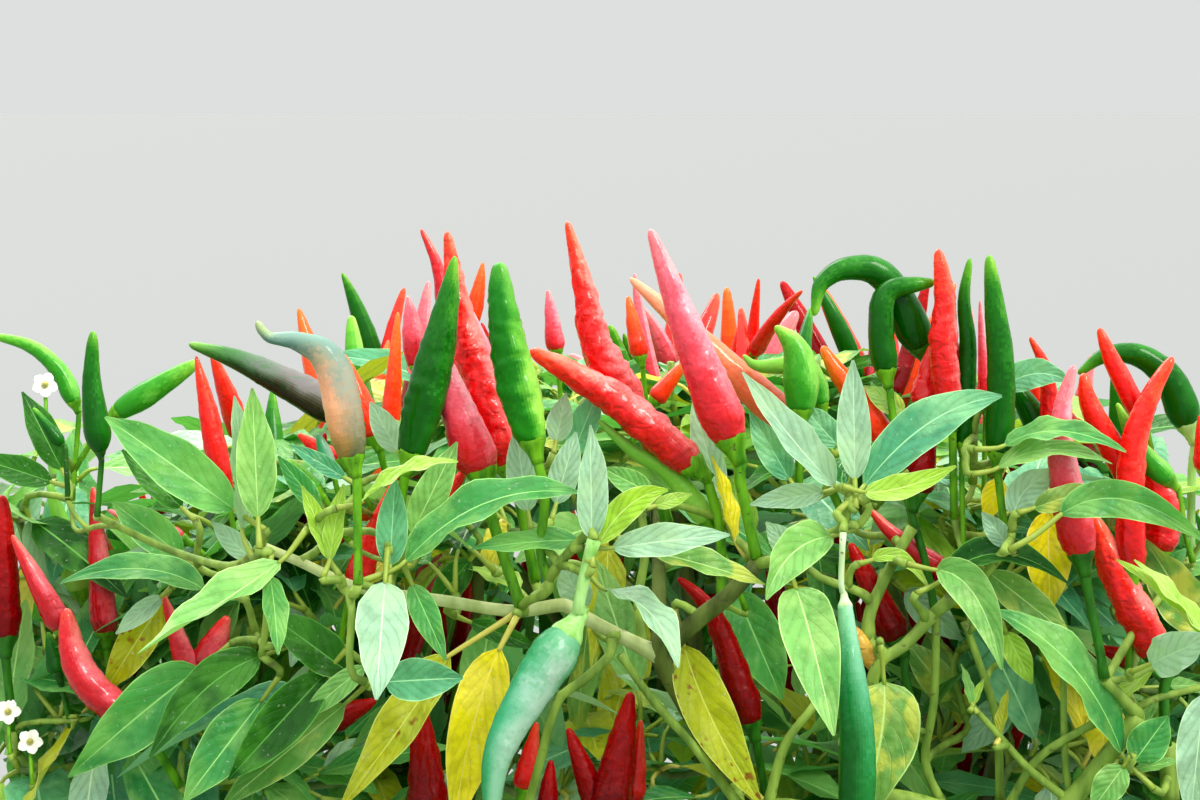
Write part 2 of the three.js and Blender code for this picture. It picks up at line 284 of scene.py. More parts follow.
# Stems of the photo, from their lower ends, each point (across, down, depth behind)
FRONT_LEFT_STEM = [(628, 640, -1), (586, 618, -4), (564, 605, -6), (513, 611, -9), (440, 600, -10),
                   (360, 588, -16), (300, 562, -22), (262, 546, -25)]
FRONT_RIGHT_STEM = [(676, 640, -2), (700, 618, -5), (728, 596, -8), (757, 564, -10)]
SHOWN_STEMS = [
    dict(path=[(738, 804, 4), (690, 742, -1), (655, 703, -4), (620, 655, -6)], wide=10, narrow=8),
    dict(path=[(612, 640, -4), (609, 656, -6), (582, 681, -8), (562, 695, -8), (552, 716, -8),
         (544, 747, -6), (528, 806, 2)], wide=10, narrow=9),
    dict(path=[(644, 648, 0), (638, 602, 3), (645, 552, 6), (640, 500, 12)], wide=10, narrow=8),
    dict(path=[(515, 610, -8), (534, 598, -6), (553, 577, -4), (560, 556, -2)], wide=10, narrow=9),
    dict(path=[(768, 806, 6), (785, 745, 4), (815, 705, 4)], wide=11, narrow=8),
    dict(path=[(757, 564, -10), (790, 556, -18), (822, 536, -27), (843, 526, -30), (850, 494, -32)],
         wide=11, narrow=8),
    dict(path=[(860, 800, 8), (868, 730, 4), (876, 668, 0), (905, 645, 0), (934, 614, 0)], wide=13,
         narrow=12),
    dict(path=[(868, 640, 4), (870, 612, 4), (888, 572, 5), (912, 528, 7)], wide=13, narrow=10),
    dict(path=[(1062, 812, 0), (1100, 765, -3), (1139, 716, -6)], wide=19, narrow=17),
    dict(path=[(1139, 716, -6), (1122, 698, -8), (1105, 680, -10)], wide=12, narrow=10),
    dict(path=[(1105, 680, -10), (1130, 678, -9), (1156, 664, -8)], wide=7, narrow=6),
    dict(path=[(1068, 800, 0), (1030, 770, -2), (1000, 737, -4), (972, 706, -6)], wide=9, narrow=6),
    dict(path=[(1072, 806, 2), (1065, 760, 0), (1063, 652, 2)], wide=8, narrow=6),
    dict(path=[(1008, 806, 4), (1040, 757, 0), (1096, 722, -4)], wide=9, narrow=8),
    dict(path=[(1170, 800, 4), (1166, 745, 0)], wide=16, narrow=17),
    dict(path=[(940, 800, 8), (925, 760, 8), (934, 700, 6), (936, 616, 2)], wide=9, narrow=8),
    dict(path=[(1000, 800, 12), (997, 725, 8), (985, 680, 6), (964, 622, 4)], wide=9, narrow=7),
    dict(path=[(262, 546, -25), (230, 566, -18), (165, 548, -8), (97, 516, -14)], wide=9, narrow=7),
    dict(path=[(300, 562, -22), (322, 545, -16), (338, 512, -14)], wide=9, narrow=7),
    dict(path=[(262, 546, -25), (268, 600, -16), (262, 655, -6)], wide=9, narrow=7),
    dict(path=[(934, 614, 0), (955, 590, 0), (963, 556, 2)], wide=11, narrow=11),
    dict(path=[(934, 614, 0), (975, 585, -4), (1007, 548, -8)], wide=10, narrow=9),
    dict(path=[(1105, 680, -10), (1142, 620, 0), (1190, 560, 8)], wide=9, narrow=8),
]


def shown(kind, **where):
    """A row of the tables of pods and leaves."""
    return {"kind": kind, **where}


# Pods of the photo. "neck" is where the pod leaves its green cup, "via" what it bends
# through on the way from its tip, "stalk" what its stalk runs through down to the stem.
SHOWN_PODS = [
    shown("deep", tip=(2, 495), neck=(5, 636), width=32, depth=20, outline="finger"),
    shown("crimson", tip=(12, 535), neck=(62, 628), width=26, depth=15),
    shown("crimson", tip=(66, 608), via=[(73, 650), (90, 685)], neck=(124, 714), width=34, depth=8,
          outline="finger", crumple=0.07),
    shown("dark", tip=(48, 632), neck=(58, 672), width=20, depth=20),
    shown("pale", tip=(48, 480), neck=(80, 590), width=28, depth=40),
    shown("crimson", tip=(93, 487), neck=(105, 632), width=28, depth=30),
    shown("dark", tip=(93, 331), via=[(92, 385)], neck=(100, 452), width=27, depth=-18, outline="lance",
          stalk=[(97, 516)]),
    shown("bright", tip=(-20, 333), via=[(30, 346), (60, 372)], neck=(74, 402), width=20, depth=30,
          stalk=[(72, 500)]),
    shown("dark", tip=(33, 408), neck=(62, 445), width=14, depth=10, outline="lance", stalk=[(68, 500)]),
    shown("bright", tip=(198, 362), neck=(118, 412), width=26, depth=25, outline="plump"),
    shown("red", tip=(196, 356), via=[(206, 400), (214, 440)], neck=(226, 492), width=23, depth=5,
          outline="spindle", crumple=0.06),
    shown("purple", tip=(189, 344), via=[(238, 360), (290, 385)], neck=(340, 412), width=37, depth=4,
          stalk=[(352, 440), (356, 500)]),
    shown("hook", tip=(257, 321), via=[(268, 337), (300, 342), (332, 366)], neck=(352, 456), width=38,
          depth=(-44, -38), outline="club", stalk=[(357, 500), (358, 584)]),
    shown("red", tip=(298, 434), neck=(336, 462), width=22, depth=22),
    shown("orange", tip=(343, 354), neck=(374, 436), width=28, depth=60),
    shown("orange", tip=(398, 312), neck=(390, 430), width=20, depth=90),
    shown("dark", tip=(455, 256), via=[(444, 320), (425, 400)], neck=(411, 453), width=41, depth=-15,
          outline="spindle", crumple=0.06, stem="green"),
    shown("pink", tip=(408, 296), via=[(412, 325)], neck=(416, 366), width=23, depth=16, outline="spindle"),
    shown("crimson", tip=(421, 229), via=[(436, 262), (443, 300)], neck=(450, 398), width=24, depth=20),
    shown("orange", tip=(483, 262), via=[(478, 292)], neck=(468, 335), width=18, depth=25,
          outline="spindle"),
    shown("pink", tip=(468, 306), neck=(500, 402), width=27, depth=14),
    shown("wrinkled", tip=(447, 231), via=[(458, 300), (478, 375)], neck=(508, 464), width=43, depth=2),
    shown("pink", tip=(438, 343), via=[(455, 400)], neck=(481, 470), width=46, depth=-11, stalk=[(484, 490),
          (501, 548), (521, 608)]),
    shown("patchy", tip=(499, 262), via=[(503, 312), (516, 378)], neck=(532, 440), width=43, depth=-25,
          outline="plump", crumple=0.09, stalk=[(545, 500), (540, 550), (549, 578)]),
    shown("wrinkled", tip=(530, 350), via=[(578, 377), (622, 405)], neck=(691, 464), width=37, depth=0,
          outline="finger", crumple=0.14, stalk=[(708, 482), (720, 530), (722, 600)]),
    shown("wrinkled", tip=(567, 221), via=[(575, 252), (585, 295), (597, 345)], neck=(630, 410), width=44,
          depth=10, outline="horn"),
    shown("pale", tip=(598, 420), via=[(632, 450), (672, 475)], neck=(706, 520), width=24, depth=3),
    shown("peach", tip=(630, 278), via=[(680, 322)], neck=(788, 422), width=36, depth=22),
    shown("pink", tip=(650, 229), via=[(666, 272), (693, 345)], neck=(730, 438), width=46, depth=-10,
          stalk=[(740, 480), (757, 558)]),
    shown("pale", tip=(743, 355), via=[(758, 366)], neck=(798, 364), width=20, depth=15),
    shown("bright", tip=(775, 326), via=[(794, 346), (801, 376)], neck=(801, 410), width=37, depth=3,
          outline="spindle"),
    shown("bright", tip=(806, 350), neck=(821, 404), width=24, depth=10, outline="spindle"),
    shown("orange", tip=(822, 346), via=[(838, 372), (868, 412)], neck=(886, 442), width=26, depth=10,
          outline="finger"),
    shown("dark", tip=(814, 316), via=[(822, 283), (850, 268), (886, 279)], neck=(921, 346), width=37,
          depth=(4, 12), stalk=[(922, 380), (915, 470)]),
    shown("dark", tip=(935, 282), via=[(888, 292), (881, 330)], neck=(886, 370), width=27, depth=4,
          outline="finger", stalk=[(890, 392), (900, 470)], stem="green"),
    shown("wrinkled", tip=(938, 249), via=[(945, 300), (943, 350)], neck=(950, 412), width=29, depth=0,
          outline="finger", crumple=0.13),
    shown("wrinkled", tip=(931, 345), neck=(922, 405), width=26, depth=6),
    shown("wrinkled", tip=(950, 330), neck=(966, 410), width=30, depth=7),
    shown("dark", tip=(970, 258), via=[(964, 300), (968, 350)], neck=(963, 444), width=19, depth=3,
          outline="finger", stalk=[(962, 480), (964, 554)], stem="green"),
    shown("pink", tip=(980, 300), neck=(985, 410), width=13, depth=12),
    shown("dark", tip=(989, 255), via=[(994, 300), (1001, 370)], neck=(999, 453), width=29, depth=-5,
          outline="finger", stalk=[(1000, 490), (1007, 548)], stem="green"),
    shown("dark", tip=(1008, 375), neck=(1042, 430), width=30, depth=14),
    shown("red", tip=(1030, 337), via=[(1046, 372)], neck=(1052, 436), width=22, depth=8),
    shown("pink", tip=(1074, 365), via=[(1062, 410), (1062, 460)], neck=(1081, 553), width=39, depth=-10,
          crumple=0.08, stalk=[(1088, 590), (1098, 640), (1105, 678)], stem="dark"),
    shown("red", tip=(1083, 373), via=[(1092, 410)], neck=(1130, 480), width=27, depth=5, outline="finger",
          crumple=0.06),
    shown("red", tip=(1099, 328), via=[(1113, 362)], neck=(1140, 415), width=21, depth=8, outline="finger",
          crumple=0.05),
    shown("red", tip=(1173, 357), via=[(1150, 396), (1134, 445), (1130, 510)], neck=(1132, 567), width=30,
          depth=-2, outline="finger", crumple=0.08),
    shown("wrinkled", tip=(1128, 430), via=[(1150, 470), (1164, 512)], neck=(1158, 550), width=41, depth=7,
          outline="spindle", crumple=0.12),
    shown("wrinkled", tip=(1093, 516), via=[(1118, 578)], neck=(1156, 652), width=38, depth=0,
          outline="finger", crumple=0.11, stalk=[(1164, 690), (1166, 745)], stem="dark"),
    shown("bright", tip=(1117, 403), via=[(1140, 450)], neck=(1168, 480), width=24, depth=3,
          stalk=[(1185, 530), (1193, 562)]),
    shown("dark", tip=(1078, 374), via=[(1106, 355), (1140, 356), (1170, 380)], neck=(1188, 424), width=34,
          depth=18, stalk=[(1192, 470), (1191, 562)], stem="light"),
    shown("red", tip=(1200, 415), neck=(1204, 470), width=20, depth=10),
    shown("deep", tip=(850, 543), neck=(896, 638), width=34, depth=16, stalk=[(905, 672), (914, 712),
          (925, 762)]),
    shown("crimson", tip=(868, 508), via=[(900, 540)], neck=(955, 580), width=26, depth=12),
    shown("deep", tip=(1066, 645), neck=(1130, 660), width=22, depth=25),
    shown("deep", tip=(678, 578), via=[(702, 600), (722, 634)], neck=(750, 722), width=34, depth=15),
    shown("deep", tip=(631, 692), neck=(607, 822), width=44, depth=10),
    shown("deep", tip=(568, 728), neck=(600, 812), width=30, depth=12),
    shown("red", tip=(641, 720), neck=(634, 800), width=22, depth=16),
    shown("deep", tip=(420, 698), neck=(430, 830), width=44, depth=10),
    shown("red", tip=(537, 722), neck=(523, 788), width=24, depth=12),
    shown("deep", tip=(551, 760), neck=(546, 826), width=26, depth=14),
    shown("deep", tip=(376, 700), neck=(330, 722), width=28, depth=20),
    shown("crimson", tip=(228, 616), neck=(204, 668), width=36, depth=15),
    shown("crimson", tip=(164, 596), neck=(194, 688), width=26, depth=12),
    shown("pink", tip=(108, 510), neck=(182, 540), width=20, depth=25),
    shown("red", tip=(396, 478), neck=(354, 588), width=28, depth=15),
    shown("red", tip=(470, 463), neck=(442, 502), width=16, depth=8),
    shown("jade", tip=(490, 832), via=[(497, 758), (526, 698)], neck=(566, 636), width=48, depth=(-52, -36),
          stalk=[(578, 610), (587, 566), (594, 540)], stem="light"),
    shown("teal", tip=(856, 838), via=[(857, 740), (851, 670)], neck=(845, 606), width=37, depth=(-48, -38),
          outline="drop", stalk=[(841, 584), (843, 532)], stem="pale"),
    shown("dried", tip=(850, 622), neck=(877, 668), width=20, depth=2),
    shown("deep", tip=(932, 414), neck=(916, 492), width=34, depth=9, stalk=[(925, 560), (936, 616)]),
    shown("pink", tip=(548, 290), neck=(556, 350), width=20, depth=80),
    shown("orange", tip=(628, 296), neck=(640, 356), width=20, depth=95),
    shown("orange", tip=(690, 356), neck=(655, 400), width=20, depth=70),
    shown("bright", tip=(285, 460), neck=(316, 490), width=19, depth=-4, outline="finger"),
    shown("jade", tip=(318, 434), neck=(331, 470), width=15, depth=6, outline="finger"),
]

# Leaves of the photo, from base to tip. "depth" may differ at the tip.
SHOWN_LEAVES = [
    shown("mid", base=(235, 510), tip=(105, 417), width=60, depth=-25),
    shown("pale", base=(242, 530), tip=(234, 396), width=28, depth=-26),
    shown("fresh", base=(258, 518), tip=(252, 388), width=44, depth=-31),
    shown("blue", base=(345, 478), tip=(290, 445), width=20, depth=-6),
    shown("mid", base=(320, 510), tip=(278, 456), width=24, depth=-12),
    shown("mid", base=(205, 590), via=(140, 572), tip=(60, 583), width=32, depth=0),
    shown("fresh", base=(280, 562), via=(213, 612), tip=(138, 654), width=46, depth=(-34, -62)),
    shown("mid", base=(270, 576), tip=(278, 655), width=26, depth=(-34, -48)),
    shown("pale", base=(385, 582), tip=(376, 700), width=55, depth=(-32, -60)),
    shown("blue", base=(385, 682), tip=(463, 678), width=50, depth=-34),
    shown("olive", base=(450, 655), via=(410, 720), tip=(340, 808), width=50, depth=(-12, -6),
          stalk=[(515, 614)]),
    shown("yellow", base=(500, 648), via=(472, 730), tip=(452, 838), width=64, depth=(-16, -12),
          stalk=[(517, 616)]),
    shown("mid", base=(200, 668), via=(140, 715), tip=(68, 777), width=66, depth=(0, -6)),
    shown("deep", base=(262, 656), via=(205, 690), tip=(150, 757), width=52, depth=(-3, -12)),
    shown("blue", base=(300, 690), tip=(117, 778), width=26, depth=4),
    shown("mid", base=(262, 700), tip=(184, 802), width=56, depth=(-4, -14)),
    shown("deep", base=(324, 675), tip=(228, 780), width=58, depth=(-5, -16)),
    shown("mottled", base=(345, 704), tip=(222, 806), width=50, depth=2),
    shown("deep", base=(348, 672), tip=(266, 612), width=50, depth=(-4, -8)),
    shown("fresh", base=(365, 666), tip=(300, 720), width=26, depth=-9),
    shown("mid", base=(405, 562), via=(490, 506), tip=(585, 494), width=44, depth=(-28, -34)),
    shown("mid", base=(580, 540), tip=(468, 550), width=28, depth=(-24, -30)),
    shown("pale", base=(592, 540), tip=(590, 425), width=38, depth=-35),
    shown("lime", base=(598, 545), via=(630, 505), tip=(668, 490), width=32, depth=-35),
    shown("pale", base=(612, 548), tip=(730, 535), width=36, depth=-30),
    shown("mottled", base=(640, 550), tip=(765, 585), width=30, depth=-22),
    shown("fresh", base=(832, 536), via=(790, 556), tip=(766, 600), width=50, depth=(-30, -46)),
    shown("olive", base=(684, 645), via=(712, 720), tip=(762, 806), width=60, depth=2),
    shown("mid", base=(735, 590), tip=(782, 700), width=60, depth=25),
    shown("fresh", base=(796, 588), via=(814, 650), tip=(834, 736), width=64, depth=(-34, -60)),
    shown("mottled", base=(884, 682), via=(880, 745), tip=(856, 838), width=86, depth=(-4, -8)),
    shown("pale", base=(605, 590), via=(650, 618), tip=(678, 668), width=28, depth=(-14, -42)),
    shown("pale", base=(835, 486), via=(790, 440), tip=(742, 372), width=40, depth=-26),
    shown("pale", base=(855, 480), tip=(853, 360), width=38, depth=-30),
    shown("blue", base=(864, 486), via=(930, 424), tip=(1002, 396), width=50, depth=-30),
    shown("lime", base=(864, 492), via=(905, 488), tip=(956, 466), width=28, depth=-33),
    shown("pale", base=(824, 492), tip=(750, 505), width=30, depth=-20),
    shown("blue", base=(790, 480), tip=(750, 412), width=34, depth=4),
    shown("pale", base=(720, 500), tip=(693, 398), width=34, depth=5),
    shown("yellow", base=(735, 540), tip=(711, 456), width=17, depth=-2),
    shown("pale", base=(800, 560), tip=(766, 522), width=30, depth=4),
    shown("blue", base=(1000, 390), via=(1034, 374), tip=(1070, 382), width=36, depth=2),
    shown("mid", base=(1004, 446), via=(1060, 434), tip=(1126, 452), width=24, depth=(-12, -22)),
    shown("fresh", base=(998, 468), via=(1050, 452), tip=(1112, 464), width=26, depth=(-12, -20)),
    shown("pale", base=(1014, 516), via=(1030, 486), tip=(1068, 473), width=36, depth=-9),
    shown("mottled", base=(1034, 508), tip=(1100, 486), width=28, depth=(-14, -20)),
    shown("mid", base=(1060, 515), via=(1125, 500), tip=(1206, 542), width=46, depth=(-21, -24),
          stalk=[(1034, 536), (1009, 550)]),
    shown("yellow", base=(1048, 510), tip=(1050, 612), width=50, depth=12),
    shown("yellow", base=(1000, 478), tip=(985, 522), width=26, depth=5),
    shown("pale", base=(1008, 546), tip=(982, 512), width=26, depth=-6),
    shown("deep", base=(942, 580), via=(1000, 556), tip=(1067, 583), width=32, depth=(-4, -8)),
    shown("fresh", base=(936, 570), via=(975, 596), tip=(1002, 670), width=46, depth=(-6, -16)),
    shown("mid", base=(1122, 754), via=(1068, 668), tip=(994, 610), width=46, depth=(-8, -14)),
    shown("mid", base=(1134, 762), tip=(1168, 716), width=42, depth=-10),
    shown("fresh", base=(1124, 766), tip=(1092, 810), width=38, depth=-12),
    shown("fresh", base=(1135, 770), tip=(1180, 760), width=14, depth=-8),
    shown("pale", base=(1150, 664), tip=(1212, 636), width=48, depth=(-16, -34)),
    shown("mottled", base=(1206, 636), tip=(1144, 538), width=54, depth=4),
    shown("lime", base=(1212, 650), tip=(1116, 560), width=16, depth=-18),
    shown("lime", base=(1212, 642), tip=(1134, 560), width=14, depth=-20),
    shown("pale", base=(1204, 694), tip=(1190, 822), width=50, depth=-34),
    shown("mottled", base=(988, 572), tip=(1072, 638), width=38, depth=3),
    shown("lime", base=(1006, 632), tip=(1032, 684), width=28, depth=5),
    shown("lime", base=(1152, 670), tip=(1094, 722), width=20, depth=-4),
    shown("yellow", base=(1112, 704), tip=(1098, 762), width=44, depth=16),
    shown("deep", base=(52, 482), tip=(-22, 458), width=34, depth=15),
    shown("deep", base=(62, 470), tip=(22, 392), width=34, depth=18),
    shown("mid", base=(182, 556), tip=(112, 502), width=44, depth=15),
    shown("deep", base=(182, 508), tip=(122, 450), width=34, depth=8),
    shown("olive", base=(162, 602), tip=(104, 692), width=42, depth=15),
    shown("pale", base=(162, 596), tip=(116, 634), width=24, depth=6),
    shown("pale", base=(252, 560), tip=(212, 522), width=26, depth=-18),
    shown("blue", base=(390, 566), tip=(395, 478), width=34, depth=-27),
    shown("fresh", base=(412, 534), tip=(457, 442), width=38, depth=-20),
    shown("lime", base=(362, 502), via=(410, 474), tip=(458, 462), width=13, depth=-34),
    shown("lime", base=(330, 560), tip=(302, 486), width=22, depth=-30),
    shown("lime", base=(330, 560), tip=(344, 484), width=20, depth=-32),
    shown("pale", base=(528, 512), tip=(515, 428), width=36, depth=-18),
    shown("pale", base=(556, 504), tip=(576, 432), width=32, depth=-14),
    shown("pale", base=(556, 442), tip=(566, 393), width=28, depth=6),
    shown("blue", base=(572, 456), tip=(602, 382), width=32, depth=6),
    shown("fresh", base=(652, 494), tip=(602, 468), width=28, depth=-6),
    shown("fresh", base=(694, 502), tip=(626, 466), width=30, depth=12),
    shown("lime", base=(655, 506), tip=(692, 494), width=16, depth=-12),
    shown("pale", base=(398, 452), tip=(370, 402), width=30, depth=2),
    shown("lime", base=(778, 470), tip=(762, 432), width=22, depth=6),
    shown("blue", base=(838, 446), tip=(800, 404), width=32, depth=4),
    shown("mottled", base=(904, 412), tip=(864, 386), width=26, depth=6),
    shown("deep", base=(470, 622), tip=(538, 648), width=24, depth=6),
    shown("mid", base=(412, 584), tip=(446, 660), width=30, depth=(-22, -34)),
    shown("lime", base=(872, 560), via=(900, 560), tip=(930, 590), width=16, depth=2),
    shown("fresh", base=(972, 704), tip=(961, 664), width=11, depth=(-6, -8)),
    shown("lime", base=(973, 706), tip=(984, 678), width=9, depth=(-6, -3)),
    shown("olive", base=(1000, 736), tip=(1008, 690), width=12, depth=(-4, 0)),
    shown("pale", base=(905, 590), tip=(962, 640), width=38, depth=26),
    shown("mottled", base=(952, 700), tip=(905, 640), width=40, depth=34),
    shown("lime", base=(968, 640), tip=(1006, 590), width=30, depth=34),
    shown("pale", base=(1010, 700), tip=(962, 752), width=38, depth=30),
    shown("fresh", base=(890, 735), tip=(935, 800), width=42, depth=28),
    shown("deep", base=(470, 560), tip=(430, 610), width=36, depth=30),
    shown("pale", base=(585, 610), tip=(560, 560), width=34, depth=34),
    shown("blue", base=(470, 500), tip=(430, 545), width=34, depth=26),
    shown("pale", base=(905, 500), tip=(870, 545), width=32, depth=32),
    shown("pale", base=(30, 520), tip=(52, 585), width=34, depth=34),
]
FLOWERS = [(45, 385), (8, 712), (30, 742)]
FLOWER_DEPTH = 22
FLOOR_REACH = 60
PETAL_LENGTH = 3.6 * MM
# Where leaves stand behind the shown ones: across, down, depth
THICKETS = [(18, 520, 40), (34, 575, 34), (8, 610, 46), (46, 650, 30), (16, 690, 40), (70, 560, 50),
            (60, 720, 26), (20, 770, 34), (90, 610, 44), (78, 480, 66), (30, 470, 70), (110, 700, 34),
            (120, 790, 30), (560, 790, 44), (660, 770, 40), (705, 745, 46), (760, 790, 40), (640, 735, 50),
            (810, 770, 36), (480, 770, 40), (290, 790, 30), (350, 770, 40), (940, 740, 50), (1010, 770, 44),
            (1080, 790, 50), (4, 560, 62), (28, 640, 60), (12, 735, 52), (60, 515, 76), (545, 760, 72),
            (605, 775, 70), (680, 790, 72), (735, 770, 70), (590, 715, 80), (790, 735, 70), (40, 800, 44),
            (870, 790, 60), (600, 530, 84), (500, 505, 96), (690, 505, 96), (560, 470, 130),
            (640, 475, 140), (470, 560, 70), (760, 560, 74), (400, 520, 90), (820, 520, 90),
            (520, 440, 160), (690, 440, 160), (150, 905, -8), (290, 900, -16), (410, 905, 0),
            (530, 900, -14), (650, 905, -2), (770, 900, -16), (890, 905, -4), (1010, 900, -14),
            (1130, 905, -4), (350, 960, -30), (600, 965, -34), (850, 960, -30)]


def unit(way):
    return way / np.linalg.norm(way)


def units(ways):
    """Rows of ways, each at a length of one."""
    return ways / np.linalg.norm(ways, axis=1)[:, None]


def turned(angle, first, second):
    """The direction at an angle from the first towards the second, which is square to it."""
    return math.cos(angle) * first + math.sin(angle) * second


def swayed(chance, spread, rise):
    """A way that rises, pushed aside by chance."""
    return np.array([chance.gauss(0, spread), chance.gauss(0, spread), rise])


def seen(across, down, depth):
    """The point that shows at a pixel of the photo, depth mm behind the plane through AIM."""
    right = (across - PHOTO_WIDTH / 2) / FOCAL_PIXELS
    below = (down - PHOTO_HEIGHT / 2) / FOCAL_PIXELS
    return EYE + (AIM_DISTANCE + depth * MM) * (FORWARD + right * RIGHT - below * UP)


def width_at(pixels, depth):
    """The real width, in metres, of what is that many pixels wide at a depth."""
    return pixels * (AIM_DISTANCE + depth * MM) / FOCAL_PIXELS


def pixel_of(point):
    """Across and down in the photo, and the depth in mm, at which a point shows."""
    away = point - EYE
    distance = away @ FORWARD
    across = PHOTO_WIDTH / 2 + FOCAL_PIXELS * (away @ RIGHT) / distance
    down = PHOTO_HEIGHT / 2 - FOCAL_PIXELS * (away @ UP) / distance
    return across, down, (distance - AIM_DISTANCE) / MM


def clear_of_view(point, lift=0, nearest=LEAF_DEPTH):
    """False where a grown leaf or pod would hide what the photo shows, or stand above it."""
    across, down, depth = pixel_of(point)
    if not -PHOTO_MARGIN < across < PHOTO_WIDTH + PHOTO_MARGIN or down > PHOTO_HEIGHT + PHOTO_MARGIN:
        return True
    if depth < nearest:
        return False
    return down > next(row for limit, row in CLEAR_ROWS if depth < limit) - lift


def depths(given):
    """The depth at the tip and at the other end, where one is given for both."""
    return given if isinstance(given, tuple) else (given, given)


def smooth(points, step):
    """Points a step or so apart along a curve through the given ones."""
    points = [np.asarray(p, float) for p in points]
    ends = [2 * points[0] - points[1], *points, 2 * points[-1] - points[-2]]
    line = []
    for a, b, c, d in zip(ends, ends[1:], ends[2:], ends[3:]):
        count = max(2, round(float(np.linalg.norm(c - b)) / step))
        for k in range(count):
            t = k / count
            bend = (2 * a - 5 * b + 4 * c - d) * t**2 + (3 * b - 3 * c + d - a) * t**3
            line.append(0.5 * (2 * b + (c - a) * t + bend))
    line.append(points[-1])
    return np.array(line)


def arc(start, leaving, end, arriving, step=4 * MM):
    """A curve from one point and direction to another."""
    reach = float(np.linalg.norm(end - start))
    count = max(4, round(reach / step))
    t = np.linspace(0, 1, count + 1)[:, None]
    first = start + leaving * reach * ARC_PULL
    last = end - arriving * reach * ARC_PULL
    return (1 - t) ** 3 * start + 3 * (1 - t) ** 2 * t * first + 3 * (1 - t) * t**2 * last + t**3 * end


def running(steps):
    """How far one has gone before each step and after the last."""
    return np.concatenate([[0], np.cumsum(steps)])


def gaps_of(line):
    return np.linalg.norm(np.diff(line, axis=0), axis=1)


def length_of(line):
    return float(gaps_of(line).sum())


def evenly(line, shares):
    """Points of a line at shares of its length."""
    gone = running(gaps_of(line))
    return np.stack([np.interp(shares * gone[-1], gone, line[:, k]) for k in range(3)], axis=1)


def frames(line):
    """The way a line runs at each point, and two directions across it that don't twist."""
    ahead = units(np.gradient(line, axis=0))
    side = np.cross(ahead[0], (0, 0, 1) if abs(ahead[0][2]) < 0.9 else (1, 0, 0))
    sides = []
    for way in ahead:
        side = unit(side - (side @ way) * way)
        sides.append(side)
    sides = np.array(sides)
    return ahead, sides, np.cross(ahead, sides)


def round_angles(sides):
    return 2 * math.pi * np.arange(sides) / sides


@lru_cache(maxsize=None)
def tube_faces(rings, sides):
    """Faces of a closed tube, and which ring each belongs to."""
    faces = []
    at = []
    for i in range(rings - 1):
        for j in range(sides):
            k = (j + 1) % sides
            faces.append((i * sides + j, i * sides + k, (i + 1) * sides + k, (i + 1) * sides + j))
            at.append(i)
    last = (rings - 1) * sides
    for j in range(sides):
        k = (j + 1) % sides
        faces.append((k, j, rings * sides))
        faces.append((last + j, last + k, rings * sides + 1))
        at.extend((0, rings - 2))
    return faces, np.array(at)


def tube(line, radii, sides, relief, push=0.0):
    """Points of a closed round solid along a line. relief scales its radius and push moves
    its rim along the line, both for each ring and side."""
    ahead, across, up = frames(line)
    angles = round_angles(sides)
    reach = np.broadcast_to(np.asarray(radii)[:, None] * relief, (len(line), sides))[..., None]
    slide = np.broadcast_to(push, (len(line), sides))[..., None]
    spoke = np.cos(angles)[None, :, None] * across[:, None] + np.sin(angles)[None, :, None] * up[:, None]
    rings = line[:, None] + reach * spoke + slide * ahead[:, None]
    return np.concatenate([rings.reshape(-1, 3), line[:1], line[-1:]])


def ridges(line, sides, count, depth, seed, grain=5 * MM):
    """The relief of a stem: lengthwise ridges, broken up by noise."""
    angles = round_angles(sides)
    rough = np.array([[noise.noise(Vector((math.cos(a) * 1.6, math.sin(a) * 1.6, g * 0.5 + seed)))
                       for a in angles] for g in running(gaps_of(line)) / grain])
    return 1 + depth * (0.55 * np.cos(count * angles + seed)[None, :] + 1.1 * rough)


def swelling(gone, reach):
    """How much a stem swells towards a joint: 1 at the joint, less and less further on."""
    return np.exp(-((gone / reach) ** 2))


def screen_parts(code):
    """Red, green and blue, from 0 to 1, of a colour written as on a screen."""
    return [int(code[k:k + 2], 16) / 255 for k in (1, 3, 5)]


def colour(code):
    """A colour written as on a screen, as the linear values that a shader takes."""
    return (*[c / 12.92 if c <= 0.04045 else ((c + 0.055) / 1.055) ** 2.4 for c in screen_parts(code)], 1)


